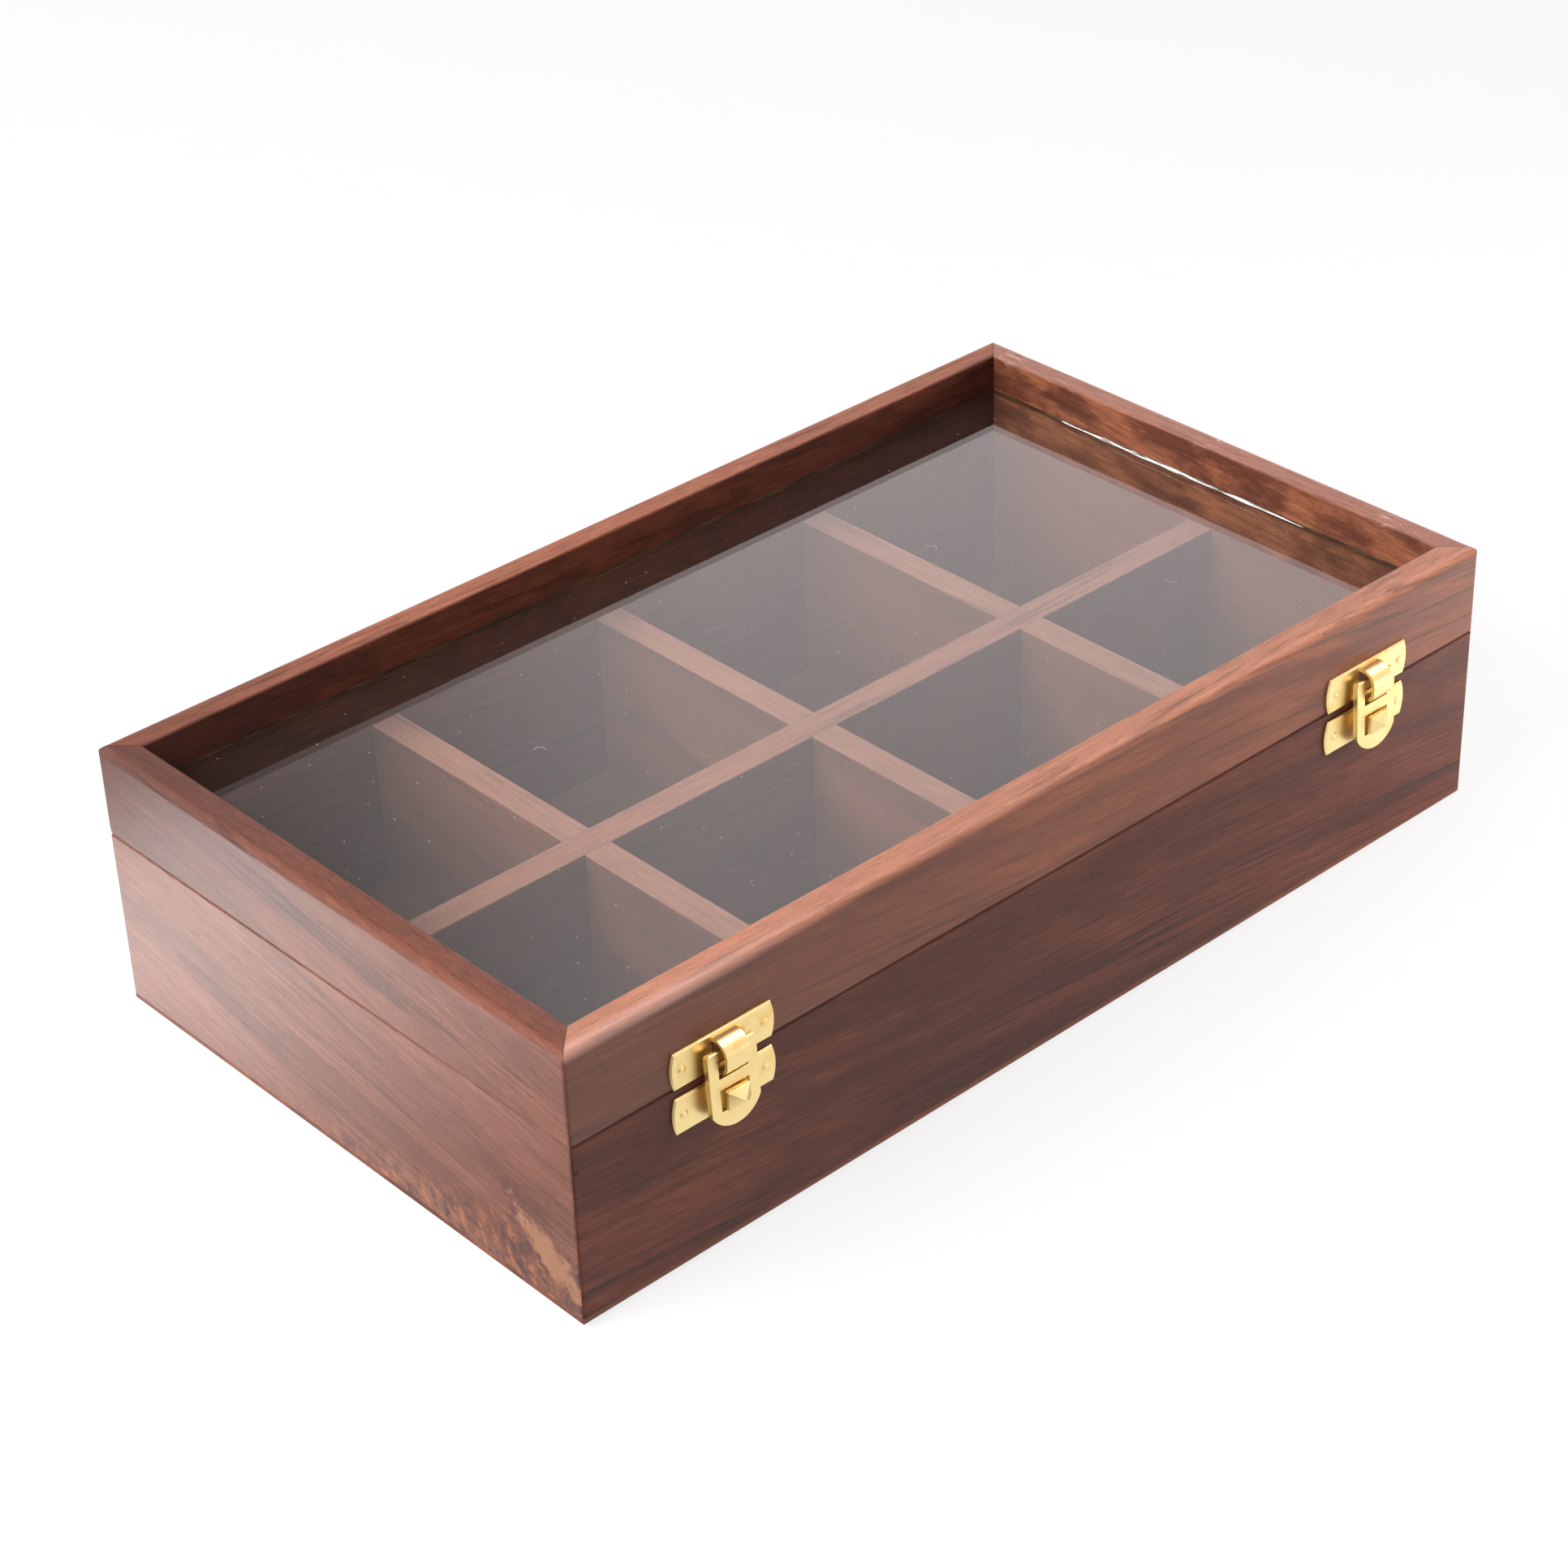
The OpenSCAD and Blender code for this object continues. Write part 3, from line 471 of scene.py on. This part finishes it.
def scattered(tree, where, spacing, share, low, high):
    """Rings low to high mm from the middles of a share of cells, spacing mm apart."""
    cells = add_node(tree, "TexVoronoi", {
        "Vector": where, "Scale": 1 / (spacing * mm)}, None, voronoi_dimensions="2D")
    size = add_node(tree, "SeparateColor", (cells["Color"],))
    chosen = add_node(tree, "MapRange", (size, 1 - share, 1.0), **SOFT)
    reach = add_node(tree, "Math", (chosen, high / spacing), operation="MULTIPLY")
    inside = add_node(tree, "Math", (cells["Distance"], reach), operation="LESS_THAN")
    outside = add_node(tree, "Math", (cells["Distance"], low / spacing),
                       operation="GREATER_THAN")
    return add_node(tree, "Math", (inside, outside), operation="MULTIPLY")


def float_glass(index):
    """Float glass, clear with a trace of green, its upper side lightly dusty.

    Light that goes on from a matt surface or to a lamp passes straight through.
    """
    material, tree = new_material("float_glass_clear")
    where = add_node(tree, "TexCoord", output="Object")
    glass = add_node(tree, "BsdfPrincipled", {
        "Base Color": rgba("#fbfefc"), "Roughness": 0.0, "IOR": index,
        "Transmission Weight": 1.0})
    clear = add_node(tree, "BsdfTransparent", {"Color": rgba("#f4f8f6")})
    path = add_node(tree, "LightPath", output=None)
    straight = add_node(tree, "Math", (path["Is Shadow Ray"], path["Is Diffuse Ray"]),
                        operation="MAXIMUM")
    pane = add_node(tree, "MixShader", (straight, glass, clear))

    # Specks of dust, and lint that lies in broken arcs: the arcs break every 2.6 mm or so,
    # which is 380 to a metre
    specks = scattered(tree, where, 7, 0.35, 0.0, 0.19)
    arcs = scattered(tree, where, 34, 0.7, 1.4, 1.6)
    breaks = add_node(tree, "TexNoise", {"Vector": where, "Scale": 380.0, "Detail": 0.0})
    unbroken = add_node(tree, "Math", (breaks, 0.56), operation="GREATER_THAN")
    threads = add_node(tree, "Math", (arcs, unbroken), operation="MULTIPLY")
    lying = add_node(tree, "Math", (specks, threads), operation="MAXIMUM")
    height = add_node(tree, "SeparateXYZ", (where,), 2)
    top = add_node(tree, "Math", (height, pane_top - 0.1 * mm), operation="GREATER_THAN")
    dust = add_node(tree, "Math", (lying, top), operation="MULTIPLY")
    haze = add_node(tree, "Math", (top, 0.012), operation="MULTIPLY")
    film = add_node(tree, "Math", (dust, 0.45, haze), operation="MULTIPLY_ADD")
    lint = add_node(tree, "BsdfDiffuse", {"Color": rgba("#cfcbc4")})
    shader = add_node(tree, "MixShader", (film, pane, lint))
    add_node(tree, "OutputMaterial", (shader,), None)
    return material


def clear_glue():
    """Clear silicone, squeezed from a nozzle: glossy, with milky and dark streaks."""
    material, tree = new_material("clear_silicone_bead")
    where = add_node(tree, "TexCoord", output="Object")
    streaks = stretched_noise(tree, where, (0.35 * mm, 9 * mm, 0.35 * mm))
    milky = add_node(tree, "MapRange", (streaks, 0.40, 0.52), **SOFT)
    colour = add_node(tree, "Mix", {0: milky, 6: rgba("#5a4a3c"), 7: rgba("#eeedea")}, **COLOUR)
    shader = add_node(tree, "BsdfPrincipled", {
        "Base Color": colour, "Roughness": 0.12, "IOR": 1.41})
    add_node(tree, "OutputMaterial", (shader,), None)
    return material


def dried_glue():
    """Glue that ran into the groove and dried: olive brown and semi-gloss."""
    material, tree = new_material("dried_glue_in_groove")
    where = add_node(tree, "TexCoord", output="Object")
    mottle = stretched_noise(tree, where, (11 * mm, 11 * mm, 0.6 * mm))
    thick = add_node(tree, "MapRange", (mottle, 0.38, 0.62), **SOFT)
    colour = add_node(tree, "Mix", {0: thick, 6: rgba("#1d1812"), 7: rgba("#574a30")}, **COLOUR)
    shader = add_node(tree, "BsdfPrincipled", {
        "Base Color": colour, "Roughness": 0.35, "IOR": 1.45})
    add_node(tree, "OutputMaterial", (shader,), None)
    return material


# ---- New pieces ----

def piece_from_bmesh(name, shape, material):
    """A new object at the origin from a bmesh, which is freed."""
    mesh = bpy.data.meshes.new(name)
    shape.to_mesh(mesh)
    shape.free()
    mesh.materials.append(material)
    piece = bpy.data.objects.new(name, mesh)
    bpy.context.scene.collection.objects.link(piece)
    return piece


def softened_copy(node, radius, material):
    """A copy of a CAD node with its edges rounded, standing in for it."""
    sharp = math.radians(30)
    shape = bmesh.new()
    shape.from_mesh(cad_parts[node].data)
    bmesh.ops.remove_doubles(shape, verts=shape.verts, dist=0.002 * mm)
    bmesh.ops.dissolve_limit(shape, angle_limit=math.radians(0.5), verts=shape.verts,
                             edges=shape.edges)
    for face in shape.faces:
        face.smooth = True
    piece = piece_from_bmesh(node + "_buffed", shape, material)
    piece.data.set_sharp_from_angle(angle=sharp)
    rounding = piece.modifiers.new("edge_rounding", "BEVEL")
    rounding.width = radius
    rounding.segments = 3
    rounding.limit_method = "ANGLE"
    rounding.angle_limit = sharp
    rounding.harden_normals = True
    return piece


# ---- Sizes and colours that a user would change ----

def colour_property(name, description, colour):
    """A linear colour property from an sRGB hex colour."""
    return FloatVectorProperty(name=name, description=description, default=linear(colour),
                               min=0.0, max=1.0, subtype="COLOR", size=3)


class TeaBoxWood(bpy.types.PropertyGroup):
    """Colours of the sheesham"""
    wall: colour_property("Wall", "Middle tone of the front and back walls", "#5c3024")
    wall_dark: colour_property("Wall bands", "Dark bands of the long walls", "#4a261c")
    side: colour_property("Side", "Middle tone of the side walls", "#6f4437")
    side_dark: colour_property("Side bands", "Dark bands of the side walls", "#5d382c")
    rim: colour_property("Rim", "Sanded top of the lid's front rail", "#bd8369")
    divider: colour_property("Divider", "Planed faces of the dividers", "#63392d")
    vein: colour_property("Vein", "Purple-black streaks and open pores", "#2a1a1a")


class TeaBoxMetal(bpy.types.PropertyGroup):
    """Brass of the latches and hinges"""
    colour: colour_property("Brass", "Colour of the polished brass", "#f0d698")
    edge: FloatProperty(name="Edge radius", description="Radius tumbled on the latch pieces",
                        default=0.16 * mm, min=0.0, max=0.4 * mm, subtype="DISTANCE")


class TeaBoxGlass(bpy.types.PropertyGroup):
    """Pane and the bead of glue along it"""
    index: FloatProperty(name="IOR", description="Refractive index of the float glass",
                         default=1.52, min=1.3, max=1.9)
    bead: FloatProperty(name="Bead", description="Radius of the glue bead on the pane",
                        default=0.7 * mm, min=0.0, max=2 * mm, subtype="DISTANCE")


class TeaBoxStage(bpy.types.PropertyGroup):
    """Camera, lamps and floor"""
    lens: FloatProperty(name="Lens", description="Focal length of the camera in millimetres",
                        default=84.76, min=20, max=200, unit="CAMERA")
    key: FloatProperty(name="Key", description="Power of the large lamp at the left",
                       default=26.0, min=0.0, unit="POWER")
    fill: FloatProperty(name="Fill", description="Power of the small lamp at the right",
                        default=2.3, min=0.0, unit="POWER")
    floor: colour_property("Floor", "Colour of the floor", "#f2f1ef")


SETTINGS = {
    "wood": TeaBoxWood, "metal": TeaBoxMetal, "glass": TeaBoxGlass, "stage": TeaBoxStage}


# ---- Operators ----

class TEABOX_OT_walls(bpy.types.Operator):
    """Finish the four walls of the lower box"""
    bl_idname = "tea_box.walls"
    bl_label = "Walls"

    def execute(self, context):
        wood = context.scene.tea_box_wood
        long_tones = (wood.wall_dark, wood.wall, "#6a3a2a", wood.vein)
        end_tones = (wood.side_dark, wood.side, "#7b5241", wood.vein)
        inner = even_face("#6a3628")
        give_material(LONG_WALLS, sheesham(
            "sheesham_lacquered_long_walls", grain_along_x(-5), long_tones, (0.4, 0.013, 0.02),
            veins=0.8, streaks=(140, 1.2), streaky=(12 * mm, 42 * mm), specular=0.19,
            inside=inner, extra=nail_hole))
        give_material(END_WALLS, sheesham(
            "sheesham_lacquered_end_walls", grain_along_y(9), end_tones, (0.1, 0.2, 0.05),
            veins=0.4, specular=0.4, coat=0.4, inside=inner, extra=corner_knot))
        return {"FINISHED"}


class TEABOX_OT_lid_frame(bpy.types.Operator):
    """Finish the four rails of the lid"""
    bl_idname = "tea_box.lid_frame"
    bl_label = "Lid frame"

    def execute(self, context):
        wood = context.scene.tea_box_wood
        long_tones = ("#5a3226", "#73402a", "#864d31", wood.vein)
        end_tones = (wood.side_dark, wood.side, "#744839", wood.vein)
        give_material(("lid_front_rail",), sheesham(
            "sheesham_lacquered_front_rail", grain_along_x(-4), long_tones, (0.7, 0.31, 0.12),
            veins=0.5, figure=0.65, specular=0.33, rim=wood.rim, inside=even_face("#6b3a2b"),
            extra=near_end))
        give_material(("lid_back_rail",), sheesham(
            "sheesham_lacquered_back_rail", grain_along_x(-3), long_tones, (0.2, 0.11, 0.42),
            veins=0.6, specular=0.12, rim="#a46a54", inside=blotchy_face("#3a1f19", "#5c3024"),
            extra=far_corner))
        give_material(("lid_left_rail",), sheesham(
            "sheesham_lacquered_left_rail", grain_along_y(7), end_tones, (0.5, 0.6, 0.31),
            veins=0.6, specular=0.4, coat=0.3, rim="#653828", inside=even_face("#5a3226"),
            extra=far_corner))
        give_material(("lid_right_rail",), sheesham(
            "sheesham_lacquered_right_rail", grain_along_y(5), end_tones, (0.8, 0.4, 0.17),
            veins=0.3, specular=0.3, coat=0.3, rim="#a87360",
            inside=blotchy_face("#5c3021", "#9a5e40"), extra=lifted_lacquer))
        return {"FINISHED"}


class TEABOX_OT_dividers(bpy.types.Operator):
    """Finish the dividers and the nailed panel under the box"""
    bl_idname = "tea_box.dividers"
    bl_label = "Dividers and panel"

    def execute(self, context):
        wood = context.scene.tea_box_wood
        divider_tones = ("#512e26", wood.divider, "#73442f", wood.vein)
        panel_tones = ("#563328", "#6c402f", "#80503a", wood.vein)
        give_material(("long_divider",), sheesham(
            "sheesham_planed_long_divider", grain_along_x(2), divider_tones, (0.2, 0.9, 0.4),
            veins=0.4, figure=0.4, gloss=0.5, joined=False, edge="#a66f5e"))
        give_material(CROSS_DIVIDERS, sheesham(
            "sheesham_planed_cross_dividers", grain_along_y(3), divider_tones, (0.9, 0.3, 0.6),
            veins=0.4, figure=0.4, gloss=0.5, joined=False, edge="#a97564"))
        give_material(("bottom_panel",), sheesham(
            "sheesham_veneered_panel", grain_along_x(0), panel_tones, (0.6, 0.1, 0.9),
            veins=0.35, figure=0.3, gloss=0.6, joined=False))
        give_material(("panel_nails",), wire_nail_steel())
        return {"FINISHED"}


class TEABOX_OT_glass(bpy.types.Operator):
    """Finish the pane, the glue in its groove and the bead of glue along its right edge"""
    bl_idname = "tea_box.glass"
    bl_label = "Glass"

    def execute(self, context):
        glass = context.scene.tea_box_glass
        give_material(("glass_pane",), float_glass(glass.index))
        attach(self.lay_bead(glass.bead), "lid")
        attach(self.fill_groove(), "lid")
        return {"FINISHED"}

    def lay_bead(self, radius):
        """A lumpy bead that starts near the back corner and thins out past the middle."""
        start, end, steps = 52 * mm, -36 * mm, 110
        width = 0.2
        shape = bmesh.new()
        ring = bmesh.ops.create_circle(shape, cap_ends=True, segments=8, radius=radius)
        bmesh.ops.rotate(shape, verts=ring["verts"], cent=(0, 0, 0),
                         matrix=Euler((math.radians(90), 0, 0)).to_matrix())
        bmesh.ops.scale(shape, verts=ring["verts"], vec=(width, width, width))
        bmesh.ops.translate(shape, verts=ring["verts"], vec=(inner_x, start, pane_top))
        tip = list(shape.faces)
        for step in range(1, steps + 1):
            moved = bmesh.ops.extrude_face_region(shape, geom=tip)
            corners = [v for v in moved["geom"] if isinstance(v, bmesh.types.BMVert)]
            tip = [f for f in moved["geom"] if isinstance(f, bmesh.types.BMFace)]
            along = step / steps
            # Blunt at the start and fine at the end, with lumps about 8 mm long between
            swell = math.sin(math.pi * min(1.0, 0.06 + along * 0.94)) ** 0.5
            lumps = noise.noise(Vector((7.1, along * 11, 0.3)))
            wanted = max(0.1, swell * (0.7 + 0.5 * lumps))
            middle = sum((v.co for v in corners), Vector()) / len(corners)
            goal = Vector((inner_x, start + (end - start) * along, pane_top))
            for corner in corners:
                corner.co = goal + (corner.co - middle) * (wanted / width)
            width = wanted
        bmesh.ops.recalc_face_normals(shape, faces=shape.faces)
        for face in shape.faces:
            face.smooth = True
        return piece_from_bmesh("pane_glue_bead", shape, clear_glue())

    def fill_groove(self):
        """A thin frame of glue on the pane, just behind the inner faces of the rails."""
        hidden, shown, above, thickness = 1.6 * mm, 0.1 * mm, 0.02 * mm, 0.45 * mm
        shape = bmesh.new()
        rings = [[shape.verts.new((
            sx * (inner_x + reach), sy * (inner_y + reach), pane_top + above))
            for sx, sy in ((-1, -1), (1, -1), (1, 1), (-1, 1))] for reach in (hidden, shown)]
        for i in range(4):
            k = (i + 1) % 4
            shape.faces.new((rings[0][i], rings[0][k], rings[1][k], rings[1][i]))
        raised = bmesh.ops.extrude_face_region(shape, geom=list(shape.faces))
        top = [v for v in raised["geom"] if isinstance(v, bmesh.types.BMVert)]
        bmesh.ops.translate(shape, verts=top, vec=(0, 0, thickness))
        bmesh.ops.recalc_face_normals(shape, faces=shape.faces)
        return piece_from_bmesh("pane_glue_frame", shape, dried_glue())


class TEABOX_OT_hinges(bpy.types.Operator):
    """Finish the leaves, pins and screws of the hinges"""
    bl_idname = "tea_box.hinges"
    bl_label = "Hinges"

    def execute(self, context):
        colour = context.scene.tea_box_metal.colour
        give_material(HINGE_PIECES, polished_brass("brass_drawn_hinges", colour, roughness=0.22))
        return {"FINISHED"}


class TEABOX_OT_latches(bpy.types.Operator):
    """Round the edges of the plates, catches, hasps and nails and polish them"""
    bl_idname = "tea_box.latches"
    bl_label = "Latches"

    def execute(self, context):
        metal = context.scene.tea_box_metal
        brass = polished_brass("brass_stamped_and_buffed", metal.colour, roughness=0.32)
        for side in ("left", "right"):
            for body, kinds in LATCH_PIECES.items():
                for kind in kinds:
                    node = f"{side}_{kind}"
                    radius = metal.edge * (0.4 if kind.endswith("nails") else 1.0)
                    piece = softened_copy(node, radius, brass)
                    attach(piece, f"{side}_hasp" if body == "hasp" else body)
                    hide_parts(node)
        return {"FINISHED"}


# ---- Stage ----

WHITE = (1.0, 1.0, 1.0, 1.0)

# From the middle of the floor to its edges, in metres
FLOOR_REACH = 20.0
# Place and aim of each lamp, and its size across and up, in metres
LAMPS = {
    "key": ((-0.95, 0.22, 0.75), (0.0, 0.0, 0.0), (0.9, 0.7)),
    "fill": ((0.46, -0.28, 0.10), (0.16, -0.09, 0.04), (0.16, 0.12)),
}
# Metres, degrees and millimetres
CAMERA_PLACE = (-0.52789, -0.58257, 0.54029)
CAMERA_TURN = (57.211, 1.731, -42.724)
SENSOR_WIDTH = 36.0
# Directions in the room: to the right of the camera, the way that the pane mirrors the
# view, and up to the round skylight that the rolled brass mirrors
TO_RIGHT = (0.735, -0.677, 0.03)
MIRRORED_VIEW = (0.558, 0.629, 0.541)
TO_SKYLIGHT = (0.48, -0.05, 0.876)


def mirrored_sweep(tree, lit, path, place):
    """How polished faces see the floor: a painted glow in place of the lit floor, which paints
    their sheen, burnt out where the lamp falls, at the far left.

    The left faces see it by its y, and the front ones by its x, in metres.
    """
    rising = add_node(tree, "MapRange", (place[1], -0.05, 0.12, 0.4, 2.5), **SOFT)
    ending = add_node(tree, "MapRange", (place[1], 0.13, 0.19, 1.0, 0.2), **SOFT)
    left = add_node(tree, "Math", (rising, ending), operation="MULTIPLY")
    front = add_node(tree, "MapRange", (place[0], 0.12, 0.27, 1.05, 2.4), **SOFT)
    past_left = add_node(tree, "MapRange", (place[0], -0.16, -0.14), **SOFT)
    level = add_node(tree, "Mix", {0: past_left, 2: left, 3: front})
    # Painted glow that only polished faces see, brighter than white at the far left
    painted_glow = add_node(tree, "Emission", {"Color": WHITE, "Strength": level})
    return add_node(tree, "MixShader", (path["Is Glossy Ray"], lit, painted_glow))


def seen_white(tree, lit, path):
    """A lit floor, mixed with plain white where the camera sees it, or through the glass."""
    seen = add_node(tree, "Math", (path["Is Camera Ray"], path["Is Transmission Ray"]),
                    operation="MAXIMUM")
    white = add_node(tree, "Emission", {"Color": WHITE, "Strength": 1.0})
    share = add_node(tree, "Math", (seen, 0.8), operation="MULTIPLY")
    return add_node(tree, "MixShader", (share, lit, white))


class TEABOX_OT_stage(bpy.types.Operator):
    """Set the floor, the light and the camera"""
    bl_idname = "tea_box.stage"
    bl_label = "Stage"

    def execute(self, context):
        stage = context.scene.tea_box_stage
        self.add_floor(stage)
        self.light_world(context.scene)
        self.add_lamps(stage)
        self.add_camera(context.scene, stage)
        return {"FINISHED"}

    def add_floor(self, stage):
        """A painted board, so large that its edges stay out of sight."""
        material, tree = new_material("painted_board_floor")
        where = add_node(tree, "TexCoord", output="Object")
        place = add_node(tree, "SeparateXYZ", (where,), None)
        path = add_node(tree, "LightPath", output=None)
        # The roller left soft patches of about 17 mm, which is 60 to a metre
        patches = add_node(tree, "TexNoise", {"Vector": where, "Scale": 60.0})
        paint = add_node(tree, "Mix", {
            0: patches, 6: rgba(stage.floor), 7: rgba("#ecebe9")}, **COLOUR)
        lit = add_node(tree, "BsdfDiffuse", {"Color": paint})
        mirrored = mirrored_sweep(tree, lit, path, place)
        seen = seen_white(tree, mirrored, path)
        # Open from beneath, so that the underside of the box can be looked at
        beneath = add_node(tree, "NewGeometry", output="Backfacing")
        nothing = add_node(tree, "BsdfTransparent")
        board = add_node(tree, "MixShader", (beneath, seen, nothing))
        add_node(tree, "OutputMaterial", (board,), None)
        shape = bmesh.new()
        bmesh.ops.create_grid(shape, x_segments=8, y_segments=8, size=FLOOR_REACH)
        bmesh.ops.translate(shape, verts=shape.verts, vec=(0, 0, -0.1 * mm))
        piece_from_bmesh("floor", shape, material)

    def light_world(self, scene):
        """White for the camera; polished faces see a bright room, darker at the left."""
        world = bpy.data.worlds.new("studio_room")
        scene.world = world
        world.use_nodes = True
        tree = world.node_tree
        tree.nodes.clear()
        direction = add_node(tree, "TexCoord", output="Generated")
        sideways = add_node(tree, "VectorMath", (direction, TO_RIGHT), 1,
                            operation="DOT_PRODUCT")
        onward = add_node(tree, "VectorMath", (direction, MIRRORED_VIEW), 1,
                          operation="DOT_PRODUCT")
        overhead = add_node(tree, "VectorMath", (direction, TO_SKYLIGHT), 1,
                            operation="DOT_PRODUCT")
        height = add_node(tree, "SeparateXYZ", (direction,), 2)
        to_right = add_node(tree, "MapRange", (sideways, -0.16, -0.01, 0.5, 1.5), **SOFT)
        upward = add_node(tree, "MapRange", (height, 0.46, 0.58, 1.0, 0.78), **SOFT)
        wall = add_node(tree, "Math", (to_right, upward), operation="MULTIPLY")
        ceiling = add_node(tree, "MapRange", (overhead, 0.93, 0.985, 1.2, 8.0), **SOFT)
        ahead = add_node(tree, "MapRange", (onward, 0.7, 0.9), **SOFT)
        room = add_node(tree, "Mix", {0: ahead, 2: ceiling, 3: wall})
        path = add_node(tree, "LightPath", output=None)
        seen = add_node(tree, "Mix", {0: path["Is Glossy Ray"], 2: 0.5, 3: room})
        strength = add_node(tree, "Mix", {0: path["Is Camera Ray"], 2: seen, 3: 1.0})
        tint = add_node(tree, "Mix", {
            0: path["Is Camera Ray"], 6: rgba("#fff5f6"), 7: WHITE}, **COLOUR)
        background = add_node(tree, "Background", {"Color": tint, "Strength": strength})
        add_node(tree, "OutputWorld", (background,), None)

    def add_lamps(self, stage):
        """A large soft lamp at the left and a little behind, and a small one at the right."""
        for name, (place, aim, size) in LAMPS.items():
            lamp = bpy.data.lights.new(name, "AREA")
            lamp.shape = "RECTANGLE"
            lamp.size, lamp.size_y = size
            lamp.energy = getattr(stage, name)
            holder = bpy.data.objects.new(name, lamp)
            holder.location = place
            turned = Vector(aim) - Vector(place)
            holder.rotation_euler = turned.to_track_quat("-Z", "Y").to_euler()
            # The lamps light the box, but aren't mirrored by either side of the pane
            holder.visible_camera = False
            holder.visible_glossy = False
            holder.visible_transmission = False
            bpy.context.scene.collection.objects.link(holder)

    def add_camera(self, scene, stage):
        """A long lens above the front left corner."""
        data = bpy.data.cameras.new("camera")
        data.lens = stage.lens
        data.sensor_width = SENSOR_WIDTH
        data.clip_start = 10 * mm
        camera = bpy.data.objects.new("camera", data)
        camera.location = CAMERA_PLACE
        camera.rotation_euler = Euler([math.radians(angle) for angle in CAMERA_TURN])
        scene.collection.objects.link(camera)
        scene.camera = camera
        scene.view_settings.view_transform = "Standard"


OPERATORS = (TEABOX_OT_walls, TEABOX_OT_lid_frame, TEABOX_OT_dividers, TEABOX_OT_glass,
             TEABOX_OT_hinges, TEABOX_OT_latches, TEABOX_OT_stage)


# ---- Panel and registration ----

class TEABOX_PT_panel(bpy.types.Panel):
    """Steps that finish the box, and their settings"""
    bl_idname = "TEABOX_PT_panel"
    bl_label = "Tea Box"
    bl_space_type = "VIEW_3D"
    bl_region_type = "UI"
    bl_category = "Tea Box"

    def draw(self, context):
        layout = self.layout
        for key, group in SETTINGS.items():
            box = layout.box()
            box.label(text=group.__doc__)
            for name in group.__annotations__:
                box.prop(getattr(context.scene, "tea_box_" + key), name)
        for operator in OPERATORS:
            layout.operator(operator.bl_idname)


def register():
    """Add the classes, and each group of settings to the scene."""
    for group in SETTINGS.values():
        bpy.utils.register_class(group)
    for key, group in SETTINGS.items():
        setattr(bpy.types.Scene, "tea_box_" + key, PointerProperty(type=group))
    for cls in (*OPERATORS, TEABOX_PT_panel):
        bpy.utils.register_class(cls)


def unregister():
    """Undo register, in the opposite order."""
    for cls in (TEABOX_PT_panel, *reversed(OPERATORS)):
        bpy.utils.unregister_class(cls)
    for key in SETTINGS:
        delattr(bpy.types.Scene, "tea_box_" + key)
    for group in SETTINGS.values():
        bpy.utils.unregister_class(group)


def main():
    """Finish the box step by step."""
    register()
    for operator in OPERATORS:
        group, name = operator.bl_idname.split(".")
        getattr(getattr(bpy.ops, group), name)()


if __name__ == "__main__":
    main()
